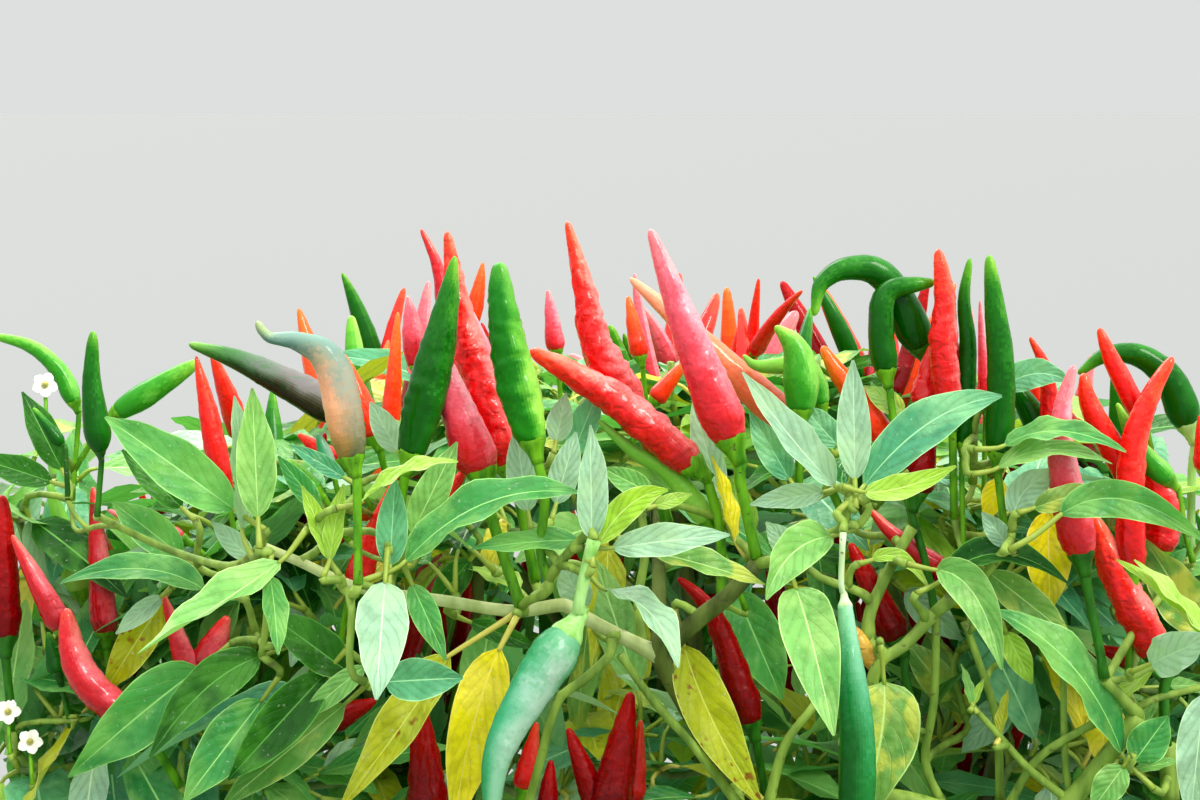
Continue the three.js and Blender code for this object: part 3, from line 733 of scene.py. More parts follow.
class Shades:
    """The plain shades of one kind of pod, evenly far apart from its neck to its tip, and in
    a few levels from its own colour on its shady side to a painted sheen on its sunny side."""

    def __init__(self, kind, first):
        # top holds the painted sheen of the sunny side
        row, top = (np.array([screen_parts(code) for code in codes])
                    for codes in (POD_KINDS[kind], POD_PAINTED_SHEEN.get(kind, POD_KINDS[kind])))
        gone = running((np.abs(np.diff(row, axis=0)) + np.abs(np.diff(top, axis=0))).sum(axis=1) / 2)
        self.first = first
        self.count = max(LEAST_SHADES, math.ceil(gone[-1] / SHADE_STEP))
        level_step = FINE_LEVEL_STEP if kind in SHEEN_CONTRAST_PODS else SHEEN_LEVEL_STEP
        self.levels = 1 + math.ceil(float(np.abs(top - row).sum(axis=1).max()) / level_step)
        self.range = SHEEN_RANGES.get(kind, SHEEN_RANGE)
        self.knots = np.linspace(0, 1, len(row))
        self.reach = gone / gone[-1]
        middles = (np.arange(self.count) + 0.5) / self.count
        self.codes = []
        for level in range(self.levels):
            mixed = row + (top - row) * level / max(self.levels - 1, 1)
            each = np.stack([np.interp(middles, self.reach, mixed[:, k]) for k in range(3)], axis=1)
            self.codes.extend("#%02X%02X%02X" % tuple(round(255 * part) for part in shade)
                              for shade in each.tolist())

    def at(self, share, sunny, scatter):
        """The number of the shade at a share of the pod's length, sunny from -1 to 1, which sets
        how much painted sheen it holds. scatter breaks up the borders between shades."""
        step = np.interp(share, self.knots, self.reach) * self.count + scatter
        low, high = self.range
        level = (sunny - low) / (high - low) * self.levels + scatter
        level, step = (np.clip(part, 0, most - 1).astype(int)
                       for part, most in ((level, self.levels), (step, self.count)))
        return self.first + level * self.count + step


class Nodes:
    """A tree of shader nodes."""

    def __init__(self, tree):
        self.tree = tree

    def put(self, socket, value):
        """Feeds an input with what another node gives, with a colour code or with a value."""
        if isinstance(value, bpy.types.NodeSocket):
            self.tree.links.new(value, socket)
        else:
            socket.default_value = colour(value) if isinstance(value, str) else value

    def node(self, kind, inputs=(), **settings):
        made = self.tree.nodes.new(kind)
        for name, value in settings.items():
            setattr(made, name, value)
        for name, value in dict(inputs).items():
            self.put(made.inputs[name], value)
        return made

    def height(self, place):
        return self.node("ShaderNodeSeparateXYZ", {0: place}).outputs["Z"]


class Look(Nodes):
    """A material, with short ways to add nodes to it."""

    def __init__(self, name, base, roughness, inputs=()):
        self.material = bpy.data.materials.new(name)
        self.material.use_nodes = True
        super().__init__(self.material.node_tree)
        self.shader = self.tree.nodes["Principled BSDF"]
        self.feed({"Base Color": base, "Roughness": roughness, **dict(inputs)})

    def feed(self, inputs):
        """Sets or links inputs of the shader."""
        for name, value in inputs.items():
            self.put(self.shader.inputs[name], value)

    def maths(self, operation, first, second=0):
        return self.node("ShaderNodeMath", {0: first, 1: second}, operation=operation).outputs[0]

    def times(self, first, second):
        return self.maths("MULTIPLY", first, second)

    def plus(self, first, second):
        return self.maths("ADD", first, second)

    def place(self):
        return self.node("ShaderNodeTexCoord").outputs["Object"]

    def noise(self, scale, detail, upwards=1, distortion=0):
        """Noise that changes faster or slower upwards than across."""
        place = self.place()
        if upwards != 1:
            place = self.node("ShaderNodeMapping", {"Vector": place, "Scale": (1, 1, upwards)}).outputs[0]
        inputs = {"Vector": place, "Scale": scale, "Detail": detail, "Distortion": distortion}
        return self.node("ShaderNodeTexNoise", inputs).outputs["Fac"]

    def between(self, share, low, high):
        """The share, spread so that low becomes 0 and high becomes 1."""
        inputs = {"Value": share, "From Min": low, "From Max": high}
        return self.node("ShaderNodeMapRange", inputs).outputs[0]

    def mix(self, share, first, second):
        return self.node("ShaderNodeMix", {0: share, 6: first, 7: second}, data_type="RGBA").outputs[2]

    def spots(self, scale, low, high, most, detail=1):
        """Patches of noise: 0 where it is under low, most where it is over high."""
        return self.times(self.between(self.noise(scale, detail), low, high), most)

    def bump(self, height, distance, strength=1):
        inputs = {"Height": height, "Distance": distance, "Strength": strength}
        normal = self.node("ShaderNodeBump", inputs).outputs["Normal"]
        self.feed({"Normal": normal})
        return normal

    def shine_through(self, glow, share, normal):
        """Lets some light through a thin piece."""
        through = self.node("ShaderNodeBsdfTranslucent", {"Color": glow, "Normal": normal}).outputs[0]
        mixed = self.node("ShaderNodeMixShader", {0: share, 1: self.shader.outputs[0], 2: through})
        self.put(self.tree.nodes["Material Output"].inputs["Surface"], mixed.outputs[0])


def blade_look(kind):
    """A leaf blade: mottled, with sunk side veins, paler below, and lit through. It is darker beside the
    veins, partly as painted shade, and has a painted glow towards the rim.
    """
    top, under, rib, glow = LEAF_KINDS[kind]
    look = Look(f"leaf_{kind}_blade", top, 0.36, {
        "Sheen Weight": 0.07, "Sheen Roughness": 0.35, "Sheen Tint": "#CFE6EE", "Specular IOR Level": 0.28})
    place = look.node("ShaderNodeUVMap", uv_map="surface").outputs[0]
    flat = look.node("ShaderNodeSeparateXYZ", {0: place}).outputs
    from_rib = look.maths("ABSOLUTE", look.maths("SUBTRACT", flat["X"], 0.5))
    slant = look.maths("SUBTRACT", look.times(flat["Y"], VEINS), look.times(from_rib, VEIN_SLANT))
    wave = look.maths("SINE", look.plus(look.times(slant, 2 * math.pi), look.spots(90, 0, 1, 5, 2)))
    vein = look.between(wave, 0.94, 1)
    # A darker tone of the top, for random dark mottling and for painted shade beside the veins
    shade = (*[0.45 * part for part in colour(top)[:3]], 1)
    # Darker beside the sunk veins: partly the leaf's own tone, partly painted shade of the puckers
    vein_tone_and_painted_shade = look.times(look.between(wave, -0.2, 0.9), look.spots(60, 0.3, 0.6, 0.22))
    # Paler towards the rim: a painted glow of light through the thinner edge
    painted_rim_glow = look.times(look.between(from_rib, 0.36, 0.5), 0.3)
    layers = [(look.spots(24, 0.35, 0.65, 0.3), rib), (vein_tone_and_painted_shade, shade),
              (look.spots(170, 0.5, 0.64, 0.4, 3), shade), (look.spots(75, 0.5, 0.64, 0.6, 3), rib),
              (painted_rim_glow, rib)]
    if kind in LEAF_BLOTCHES:
        scale, low, high, most, blotch = LEAF_BLOTCHES[kind]
        layers.append((look.spots(scale, low, high, most, 2), blotch))
    if kind == "olive":
        flecks = look.times(look.spots(420, 0.6, 0.68, 1), look.between(look.noise(70, 1), 0.52, 0.6))
        layers.append((flecks, "#96521A"))
    layers += [(look.times(vein, 0.22), rib), (look.spots(950, 0.7, 0.76, 0.35), "#DCE8D0")]
    green = top
    for share, tone in layers:
        green = look.mix(share, green, tone)
    back = look.node("ShaderNodeNewGeometry").outputs["Backfacing"]
    look.feed({"Base Color": look.mix(back, green, under)})
    puckered = look.plus(look.times(wave, -0.2), look.times(look.noise(330, 2), 3.2))
    normal = look.bump(look.plus(puckered, look.times(vein, -0.5)), 0.3 * MM, 0.8)
    look.shine_through(glow, 0.2 if kind in GOLDEN_LEAVES else 0.28, normal)
    return look.material


def plain_look(name, base, roughness, scale, detail, depth):
    """One colour, with a fine grain."""
    look = Look(name, base, roughness)
    look.bump(look.noise(scale, detail), depth)
    return look.material


def stem_look(name, light, dark, roughness, scale, depth, upper=None):
    """Green or woody stem: streaks and small scars along it. upper is what it turns to
    towards the fork."""
    look = Look(name, light, roughness, {"Specular IOR Level": 0.25})
    streak = look.noise(scale, 4, upwards=0.22)
    tone = look.mix(look.between(streak, 0.38, 0.66), light, dark)
    if upper:
        risen = look.plus(look.height(look.place()), look.spots(60, 0, 1, 0.03, 3))
        tone = look.mix(look.between(risen, 0.085, FORK[2] * MM + 0.01), tone, upper)
    scars = look.between(look.noise(scale * 1.4, 1), 0.68, 0.76)
    look.feed({"Base Color": look.mix(look.times(scars, 0.6), tone, "#5A4E38")})
    look.bump(look.plus(streak, look.times(scars, -0.5)), depth)
    return look.material


def pod_look(name, base, kind):
    """Glossy skin: a ripe pod's is finely creased across, a green one's is lumpy."""
    smooth_skin = kind in GREEN_PODS or kind == "deep"
    look = Look(name, base, 0.25, {
        "Specular IOR Level": 0.06 if smooth_skin else 0.12,
        "Coat Weight": 0.25 if smooth_skin else 0.5, "Coat Roughness": 0.07})
    ripple = look.noise(130 if kind in GREEN_PODS else 260, 1.2, upwards=1.35, distortion=0.8)
    look.bump(ripple, WRINKLES.get(kind, SMOOTH_WRINKLES), 0.9)
    spread = look.node("ShaderNodeMapRange", {"Value": ripple, "To Min": 0.18, "To Max": 0.36})
    look.feed({"Roughness": spread.outputs[0]})
    return look.material


def put_in_scene(name, data):
    made = bpy.data.objects.new(name, data)
    bpy.context.scene.collection.objects.link(made)
    return made


class Piece:
    """One joined mesh, collected part by part."""

    def __init__(self, name, slot, looks):
        self.name = name
        self.slot = slot
        self.looks = looks
        self.points = []
        self.faces = []
        self.shades = []
        self.map = []
        self.size = 0

    def add(self, points, faces, shades, flat=None):
        """shades are numbers of the piece's looks, one for each face. flat is where each point
        lies on a leaf, across and along."""
        first = self.size
        self.faces.extend([tuple(i + first for i in face) for face in faces])
        self.points.append(points)
        self.shades.extend(shades)
        self.map.append(np.zeros((len(points), 2)) if flat is None else flat)
        self.size += len(points)

    def add_tube(self, line, radii, sides, shades=0, relief=1.0, push=0.0):
        """shades is one number, or one for each ring, of the piece's looks."""
        faces, at = tube_faces(len(line), sides)
        each = np.broadcast_to(shades, (len(line),))[at]
        self.add(tube(line, radii, sides, relief, push), faces, each.tolist())

    def build(self, *nodes):
        """Makes the mesh, with only the looks that it uses."""
        mesh = bpy.data.meshes.new(self.name)
        mesh.from_pydata(np.concatenate(self.points).tolist(), [], self.faces)
        used, shades = np.unique(self.shades, return_inverse=True)
        mesh.polygons.foreach_set("material_index", shades.astype(np.int32))
        mesh.polygons.foreach_set("use_smooth", [True] * len(self.faces))
        corners = np.zeros(len(mesh.loops), int)
        mesh.loops.foreach_get("vertex_index", corners)
        layer = mesh.uv_layers.new(name="surface")
        layer.data.foreach_set("uv", np.concatenate(self.map)[corners].astype(np.float32).ravel())
        for number in used:
            mesh.materials.append(self.looks[number])
        made = put_in_scene(self.name, mesh)
        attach(made, "root")
        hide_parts(*nodes)


class Stems:
    """Samples of every grown stem, which later twigs start from."""

    def __init__(self):
        self.points = np.zeros((0, 3))
        self.ways = np.zeros((0, 3))
        self.radii = np.zeros(0)

    def add(self, line, radii):
        self.points = np.concatenate([self.points, line])
        self.ways = np.concatenate([self.ways, units(np.gradient(line, axis=0))])
        self.radii = np.concatenate([self.radii, radii])

    def best(self, end, arriving):
        """The sample that can best bear a twig to that end: near it, below it and behind it."""
        away = end - self.points
        near = np.linalg.norm(away, axis=1)
        above = np.maximum(-away[:, 2], 0)
        beyond = np.maximum(-(away @ arriving), 0)
        return int(np.argmin(near + ABOVE_COST * above + BEYOND_COST * beyond))


stems = Stems()
MASS_NODES = sorted(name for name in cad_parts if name.startswith("foliage_"))
LIMB_NODES = sorted(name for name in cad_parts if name.startswith(("bough_", "limb_")))

twigs = Piece("twigs", "stem_green", [
    stem_look("stem_green", "#94B24A", "#688632", roughness=0.48, scale=260, depth=0.25 * MM),
    stem_look("stem_shaded", "#6C8444", "#4E6A34", roughness=0.52, scale=240, depth=0.3 * MM),
    stem_look("stem_joint", "#8E9C56", "#6C7042", roughness=0.6, scale=420, depth=0.4 * MM),
])
trunk = Piece("main_stem_bark", "stem_woody", [
    stem_look("bark_woody", "#8C8458", "#5C5838", roughness=0.75, scale=170, depth=0.6 * MM,
              upper=BARK_GREEN),
])
boughs = Piece("bough_bark", "stem_green", [
    stem_look("bark_green", BARK_GREEN, "#424E1E", roughness=0.6, scale=200, depth=0.45 * MM),
    # A lighter copy of the bough bark, for the front left limb: painted light
    stem_look("bark_painted_light", "#D6E0A2", "#AEBC74", roughness=0.6, scale=200, depth=0.45 * MM),
])
stalks = Piece("pod_stalks", "stem_green", [
    stem_look(f"stalk_{name}", light, dark, roughness=0.36, scale=420, depth=0.5 * MM)
    for name, (light, dark) in STALK_KINDS.items()
])


def leaf_piece(kind):
    rib = LEAF_KINDS[kind][2]
    petiole = "#D2C85C" if kind in GOLDEN_LEAVES else "#96AC3C"
    looks = [blade_look(kind)]
    for part, base in (("rib", rib), ("rim", rib), ("petiole", petiole)):
        name = f"leaf_{kind}_{part}"
        looks.append(plain_look(name, base, roughness=0.45, scale=800, detail=1, depth=0.1 * MM))
    return Piece(f"leaves_{kind}", "foliage", looks)


leaves = {kind: leaf_piece(kind) for kind in LEAF_KINDS}
pod_shades = {}  # the shades of each kind, filled in with the pieces


def pod_piece(name, kinds):
    """A piece for pods of several kinds."""
    looks = []
    for kind in kinds:
        pod_shades[kind] = Shades(kind, len(looks))
        for k, code in enumerate(pod_shades[kind].codes):
            looks.append(pod_look(f"pod_{kind}_{k + 1}", code, kind))
    return Piece(name, "pods", looks)


red_pods = pod_piece("pods_ripe", [kind for kind in POD_KINDS if kind not in GREEN_PODS])
green_pods = pod_piece("pods_green", GREEN_PODS)
shown_red_pods = Piece("pods_ripe_front", "pods", red_pods.looks)
shown_green_pods = Piece("pods_green_front", "pods", green_pods.looks)
blossom = Piece("blossom", "blossom", [
    plain_look("petal", "#F4F4EC", roughness=0.5, scale=500, detail=2, depth=0.15 * MM),
    plain_look("anther", "#B9B25A", roughness=0.55, scale=900, detail=2, depth=0.2 * MM),
])


def vertices_of(node):
    return np.array([v.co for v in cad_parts[node].data.vertices], float)


def far_end(node, start):
    """The middle of the end of a limb's solid that lies furthest from its start."""
    points = vertices_of(node)
    away = np.linalg.norm(points - start, axis=1)
    return points[away > away.max() - 4 * MM].mean(0)


def grow(line, foot, end, sides, shade=STEM_GREEN):
    """Adds a stem along a line, thicker at its foot and swollen at both ends."""
    gone = np.linspace(0, 1, len(line)) * length_of(line)
    radii = np.linspace(foot, end, len(line))
    collar = 0.22 * swelling(gone, 2.2 * foot)
    knot = 0.2 * swelling(gone[-1] - gone, 2.0 * end)
    shades = np.full(len(line), shade)
    shades[-1] = STEM_JOINT
    seed = 10 * float(line[0][0] + line[-1][2])
    relief = ridges(line, sides, count=3, depth=0.06, seed=seed, grain=3 * MM)
    twigs.add_tube(line, radii * (1 + collar + knot), sides, shades, relief)
    stems.add(line, radii)


def tie(end, arriving, radius=TWIG_RADIUS, shade=STEM_GREEN, sides=8):
    """Grows a twig that ends at a point, from the stem that can best bear it."""
    k = stems.best(end, arriving)
    start = stems.points[k]
    gap = float(np.linalg.norm(end - start))
    if gap < LEAST_TWIG:
        return
    leaving = unit(0.45 * stems.ways[k] + unit(end - start))
    foot = max(radius, min(0.85 * stems.radii[k], radius * (1.1 + gap / 0.1)))
    grow(arc(start, leaving, end, arriving), foot, radius, sides, shade)


def grow_trunk():
    """The main stem, leaning a little, with its root flare and fissured bark."""
    line = smooth([np.array(p) * MM for p in TRUNK_PATH], 2.5 * MM)
    line[:, 2] = np.maximum(line[:, 2], 0)
    share = np.linspace(0, 1, len(line))
    length = length_of(line)

    def fading(height):
        return np.exp(-3 * share * length / height)

    radii = (TRUNK_RADIUS + TRUNK_TAPER * (1 - share) + ROOT_FLARE * fading(FLARE_HEIGHT)) * MM
    toes = 0.16 * fading(TOE_HEIGHT)[:, None] * np.cos(5 * round_angles(TRUNK_SIDES) + 0.6)[None, :]
    relief = ridges(line, TRUNK_SIDES, count=9, depth=0.07, seed=3.1) + toes
    trunk.add_tube(line, radii, TRUNK_SIDES, relief=relief)
    stems.add(line, radii)


def grow_bough(node, through, radii, sag=0, last=(), shade=0):
    """A bough or limb of the frame. last is the shown stem that it goes on as."""
    points = [np.array(p) * MM for p in through]
    if last:
        points.extend(seen(*place) for place in last)
    else:
        end = far_end(node, points[0])
        if len(points) == 1:
            points.append((points[0] + end) / 2 - sag * MM * ABOVE)
        points.append(end)
        points.append(end + BOUGH_TIP * unit(end - points[-2]))
    line = smooth(points, 3 * MM)
    share = np.linspace(0, 1, len(line))
    wide = (radii[0] + (radii[1] - radii[0]) * share) * MM
    collar = 1 + 0.25 * swelling(share * length_of(line), 2.5 * wide[0])
    relief = ridges(line, BOUGH_SIDES, count=5, depth=0.07, seed=7 * share[1] + radii[0])
    boughs.add_tube(line, wide * collar, BOUGH_SIDES, shade, relief)
    stems.add(line, wide)


def grow_boughs():
    grow_bough("bough_front", [FORK, LEFT_FORK, FRONT_FORK, FRONT_BEND, FRONT_NODE], (6.2, 2.1),
               last=FRONT_RIGHT_STEM)
    grow_bough("bough_right", [FORK, RIGHT_FORK, RIGHT_NODE], (6.2, 2.2))
    grow_bough("bough_left", [LEFT_FORK, LEFT_NODE], (4.8, 2.0))
    grow_bough("bough_back", [RIGHT_FORK, BACK_NODE], (4.8, 2.0))
    grow_bough("limb_front_top", [FRONT_NODE], (2.2, 1.6))
    # shade 1 is the lighter copy of the bark: painted light
    grow_bough("limb_front_left", [FRONT_NODE], (2.0, 1.2), last=FRONT_LEFT_STEM, shade=1)
    grow_bough("limb_front_right", [FRONT_FORK], (3.2, 2.0), sag=7)
    for name, start, end_radius, sag in LIMBS:
        grow_bough(f"limb_{name}", [start], (3.0, end_radius), sag)


def grow_shown_stem(path, wide, narrow):
    line = smooth([seen(*place) for place in path], 3 * MM)
    foot = width_at(wide, path[0][2]) / 2
    tie(line[0], unit(line[1] - line[0]), foot)
    grow(line, foot, width_at(narrow, path[-1][2]) / 2, 12)


def crumpled(line, width, sides, depth, seed):
    """The relief of a pod's skin: rounded folds that run across it, with creases between."""
    gone = running(gaps_of(line))
    around = width / 2 / DENT_AROUND
    rows = []
    for along in gone / DENT_ALONG:
        row = []
        for a in round_angles(sides):
            place = Vector((around * math.cos(a) + seed, around * math.sin(a), along))
            place.z += 0.9 * noise.noise(place * 0.6)
            row.append(2.2 * abs(noise.noise(place)) - 0.55 + 0.5 * noise.noise(place * 0.45))
        rows.append(row)
    fade = np.clip((1 - gone / gone[-1]) * 7, 0.1, 1) * np.clip(gone / (1.5 * MM), 0.2, 1)
    return 1 + depth * np.array(rows) * fade[:, None]


def directions(grid):
    """The ways in a grid, each at a length of one, or at none where it has none."""
    return grid / np.maximum(np.linalg.norm(grid, axis=2, keepdims=True), 1e-12)


def sheen_facing(grid, line):
    """How far each point of a pod's skin looks to the sun, by its folds and by the round pod. This sets its
    painted sheen.
    """
    out = grid - line[:, None]
    around = np.roll(grid, -1, axis=1) - np.roll(grid, 1, axis=1)
    facing = np.cross(around, np.gradient(grid, axis=0))
    facing *= np.sign((facing * out).sum(axis=2, keepdims=True))
    return ((1 - SHEEN_FOLD_SHARE) * directions(out) + SHEEN_FOLD_SHARE * directions(facing)) @ SUNNY_SIDE


def add_pod(kind, outline, line, width, crumple, chance, fine):
    """A pod from its neck to its tip, in shades that change along it, with painted sheen where it faces the
    sun.
    """
    piece = green_pods if kind in GREEN_PODS else red_pods
    sides = 12
    rings = 22
    if fine:
        piece = shown_green_pods if kind in GREEN_PODS else shown_red_pods
        sides = int(np.clip(math.pi * width / SKIN_GRID, 18, 40))
        rings = int(np.clip(length_of(line) / SKIN_GRID, 30, 84))
    share = np.concatenate([np.linspace(0, TIP_FROM, rings - len(TIP_RINGS)), TIP_RINGS])
    line = evenly(line, share)
    wide = smooth(POD_OUTLINES[outline], 0.02)
    blunt = np.sqrt(1 - np.clip((share - TIP_FROM) / TIP_SHARE, 0, 1) ** 2)
    radii = np.maximum(width / 2 * np.interp(share, wide[:, 0], wide[:, 1]) * blunt, 0.08 * MM)
    skin = tube(line, radii, sides, crumpled(line, width, sides, crumple, chance.uniform(0, 50)))
    sunny = sheen_facing(skin[:-2].reshape(rings, sides, 3), line)
    patches = np.zeros(sunny.shape)
    scatter = 0
    if fine:
        scatter = np.random.default_rng(len(piece.shades)).uniform(-0.5, 0.5, (rings + 1) * sides)
        patches = np.reshape([noise.noise(Vector(point) / PATCH) for point in skin[:-2]], sunny.shape)
    sunny, patches = (np.concatenate([part[:-1].ravel(), np.zeros(2 * sides)]) for part in (sunny, patches))
    faces, at = tube_faces(rings, sides)
    # The side that faces the sun takes painted sheen, in patches
    along = share[at] + 0.03 * sunny + 0.05 * patches
    shades = pod_shades[kind].at(along, sunny + SHEEN_PATCH_SPREAD * patches, scatter)
    piece.add(skin, faces, shades.tolist())


def add_cup(neck, ahead, width, stalk_radius, shade, fine):
    """The green funnel that holds a pod's neck, with small teeth round its rim."""
    offsets = np.array(CUP_OFFSETS) * width
    radii = stalk_radius + (0.51 * width - stalk_radius) * np.array(CUP_SWELL)
    sides = 30 if fine else 15
    angles = round_angles(sides)
    teeth = (0.5 + 0.5 * np.cos(5 * angles)) ** 3 * 0.1 * width
    push = np.zeros((len(offsets), sides))
    push[-1] = teeth
    push[-2] = 0.6 * teeth
    ribs = 0.04 * np.cos(5 * angles) + 0.02 * np.cos(10 * angles + 1)
    relief = 1 + ribs[None, :] * np.linspace(1.2, 0.4, len(offsets))[:, None]
    stalks.add_tube(neck + offsets[:, None] * ahead, radii, sides, shade, relief, push)


def add_stalk(line, foot, top, shade, sides):
    """A pod's ribbed stalk, from its joint on the twig up to the cup."""
    gone = np.linspace(0, 1, len(line)) * length_of(line)
    radii = foot + (top - foot) * np.exp(-(gone[-1] - gone) / (2.2 * top))
    radii = radii * (1 + 0.2 * swelling(gone, 1.8 * foot))
    stalks.add_tube(line, radii, sides, shade, 1 + 0.06 * np.cos(5 * round_angles(sides))[None, :])


def hang_pod(kind, line, width, stalk, chance, outline, crumple=None, fine=False, stem=None):
    """A whole pod with its cup and stalk. line runs from its neck, stalk up from its joint."""
    ahead = unit(line[2] - line[0])
    neck = line[0]
    if crumple is None:
        crumple = CRUMPLE.get(kind, SMOOTH_CRUMPLE)
    if stem is None:
        stem = "dark" if kind in DARK_STALKED else "green"
    shade = list(STALK_KINDS).index(stem)
    cup = POD_OUTLINES[outline][0][1] * width
    top = 0.23 * cup
    under = neck - 0.9 * cup * ahead
    rise = smooth([*stalk, under, under + 0.3 * cup * ahead], 3 * MM)
    add_pod(kind, outline, line, width, crumple, chance, fine)
    add_cup(neck, ahead, cup, top, shade, fine)
    add_stalk(rise, max(0.17 * cup, LEAST_STALK), top, shade, 10 if fine else 7)


def grow_shown_pod(index, kind, tip, neck, width, depth, via=(), stalk=(), outline="cone", **skin):
    """A pod where the photo shows one. Its joint is tied to the nearest fitting stem."""
    chance = random.Random(POD_SEED + index)
    at_tip, at_neck = depths(depth)
    places = [tip, *via, neck]
    shares = np.linspace(at_tip, at_neck, len(places))
    line = smooth([seen(*place, share) for place, share in zip(places, shares)], 2 * MM)[::-1]
    real = width_at(width, at_neck)
    if stalk:
        joints = [seen(*place, at_neck) for place in reversed(stalk)]
    else:
        reach = min(0.034, 0.012 + 0.4 * length_of(line))
        joints = [line[0] + reach * unit(unit(line[0] - line[1]) + np.array([0, 0.25, -0.55]))]
    onward = unit((joints[1] if len(joints) > 1 else line[0]) - joints[0])
    tie(joints[0], onward, 0.9 * max(0.12 * real, LEAST_STALK))
    hang_pod(kind, line, real, joints, chance, outline, fine=True, **skin)


@lru_cache(maxsize=None)
def blade_faces(rows, columns):
    """Faces of a leaf's grid, and what each is: blade, rib or rim."""
    count = len(columns)
    faces = []
    shades = []
    for i in range(rows - 1):
        for k in range(count - 1):
            faces.append((i * count + k, i * count + k + 1, (i + 1) * count + k + 1, (i + 1) * count + k))
            middle = (columns[k] + columns[k + 1]) / 2
            if middle == 0:
                shades.append(RIB_SHADE)
            elif abs(middle) > 0.95:
                shades.append(RIM_SHADE)
            else:
                shades.append(TOP_SHADE)
    return faces, shades


def add_leaf(kind, base, tip, facing, width, chance, fine, arch, middle=None):
    """A pointed leaf, folded along its rib, with a wavy edge, arching towards its facing.
    middle is what it bends through."""
    columns, rows, folds = FINE_LEAF if fine else PLAIN_LEAF
    share = np.linspace(0, 1, rows)
    length = float(np.linalg.norm(tip - base))
    halfway = (base + tip) / 2
    if middle is None:
        middle = halfway
    control = 2 * middle - halfway + facing * arch * length
    t = share[:, None]
    rib = (1 - t) ** 2 * base + 2 * (1 - t) * t * control + t**2 * tip
    way = units(np.gradient(rib, axis=0))
    normal = units(facing - (way @ facing)[:, None] * way)
    side = np.cross(way, normal)
    twist = chance.gauss(0, 0.3) * t**1.5
    cosine = np.cos(twist)
    sine = np.sin(twist)
    normal, side = cosine * normal + sine * side, cosine * side - sine * normal
    outline = share**0.62 * (1 - share) ** 0.95
    half = np.maximum(width / 2 * outline / outline.max(), 0.35 * MM)[:, None]
    c = np.array(columns)[None, :]
    fold = math.radians(chance.uniform(*folds))
    start = chance.uniform(0, 2 * math.pi)
    waves = chance.uniform(2.0, 3.4)
    ripple = chance.uniform(0.08, 0.2) * np.sin(2 * math.pi * waves * t + start + 1.3 * np.sign(c))
    lift = np.abs(c) * math.sin(fold) - chance.uniform(0.02, 0.22) * c**2 + ripple * c**2
    points = rib[:, None] + (c * half * math.cos(fold))[..., None] * side[:, None]
    points = points + (half * lift)[..., None] * normal[:, None]
    faces, shades = blade_faces(rows, columns)
    flat = np.stack(np.broadcast_arrays((c + 1) / 2, t), axis=-1).reshape(-1, 2)
    leaves[kind].add(points.reshape(-1, 3), faces, shades, flat)
    return way[0]


def add_petiole(kind, line, sides=6):
    radii = np.linspace(1.25 * PETIOLE_RADIUS, 0.75 * PETIOLE_RADIUS, len(line))
    leaves[kind].add_tube(line, radii, sides, PETIOLE_SHADE)


def grow_shown_leaf(index, kind, base, tip, width, depth, via=None, stalk=()):
    """A leaf where the photo shows one, turned so that it looks as wide as there."""
    chance = random.Random(LEAF_SEED + index)
    at_base, at_tip = depths(depth)
    start = seen(*base, at_base)
    end = seen(*tip, at_tip)
    middle = seen(*via, (at_base + at_tip) / 2) if via else None
    length = float(np.linalg.norm(end - start))
    looks = width_at(width, at_base)
    real = max(looks, LEAF_SLIMNESS * length)
    way = unit(end - start)
    towards = unit(EYE - start)
    towards = unit(towards - (towards @ way) * way)
    level = np.cross(way, towards)
    level = level if level[2] > 0 else -level
    share = looks / real
    facing = unit(share * towards + math.sqrt(1 - share**2) * level + 0.1 * UP)
    leaving = add_leaf(kind, start, end, facing, real, chance, True, 0.06, middle)
    into_leaf = start + 0.6 * MM * leaving
    if stalk:
        line = smooth([*[seen(*place, at_base) for place in reversed(stalk)], start, into_leaf], 3 * MM)
        add_petiole(kind, line)
        tie(line[0], unit(line[1] - line[0]))
        return
    joint = start - min(0.012, 0.25 * length) * unit(leaving - 0.5 * facing)
    add_petiole(kind, arc(joint, unit(start - joint), into_leaf, leaving, 2 * MM))
    tie(joint, unit(start - joint), 1.0 * MM)


def add_flower(centre, axis, chance):
    """A small white star of five petals round a yellow-green middle."""
    side = unit(np.cross(axis, (0.3, 1, 0.2)))
    rows = 6
    columns = np.array((-1, -0.5, 0, 0.5, 1))
    t = np.linspace(0, 1, rows)[:, None]
    half = np.maximum(0.88 * PETAL_LENGTH * t**0.5 * (1 - t) ** 0.5, 0.3 * MM)
    faces, _ = blade_faces(rows, tuple(columns.tolist()))
    for k in range(5):
        out = turned(2 * math.pi * k / 5 + chance.uniform(-0.1, 0.1), side, np.cross(axis, side))
        rib = centre + (PETAL_LENGTH * t) * out + (0.2 * PETAL_LENGTH * np.sin(2.4 * t)) * axis
        points = rib[:, None] + (columns * half)[..., None] * np.cross(out, axis)
        points = points + (0.25 * half * columns**2)[..., None] * axis
        blossom.add(points.reshape(-1, 3), faces, [0] * len(faces))
    middle = centre + np.linspace(0, 2.6 * MM, 6)[:, None] * axis
    blossom.add_tube(middle, np.array([0.8, 1.0, 0.9, 0.8, 0.6, 0.3]) * MM, 10, 1)


def add_flower_stalk(line, radius):
    stalks.add_tube(line, np.full(len(line), radius), 6)


def inside_crown(point):
    low, high = (np.array(corner) for corner in CAD_BOX)
    return bool((point > low - SPARE).all() and (point < high + SPARE).all())


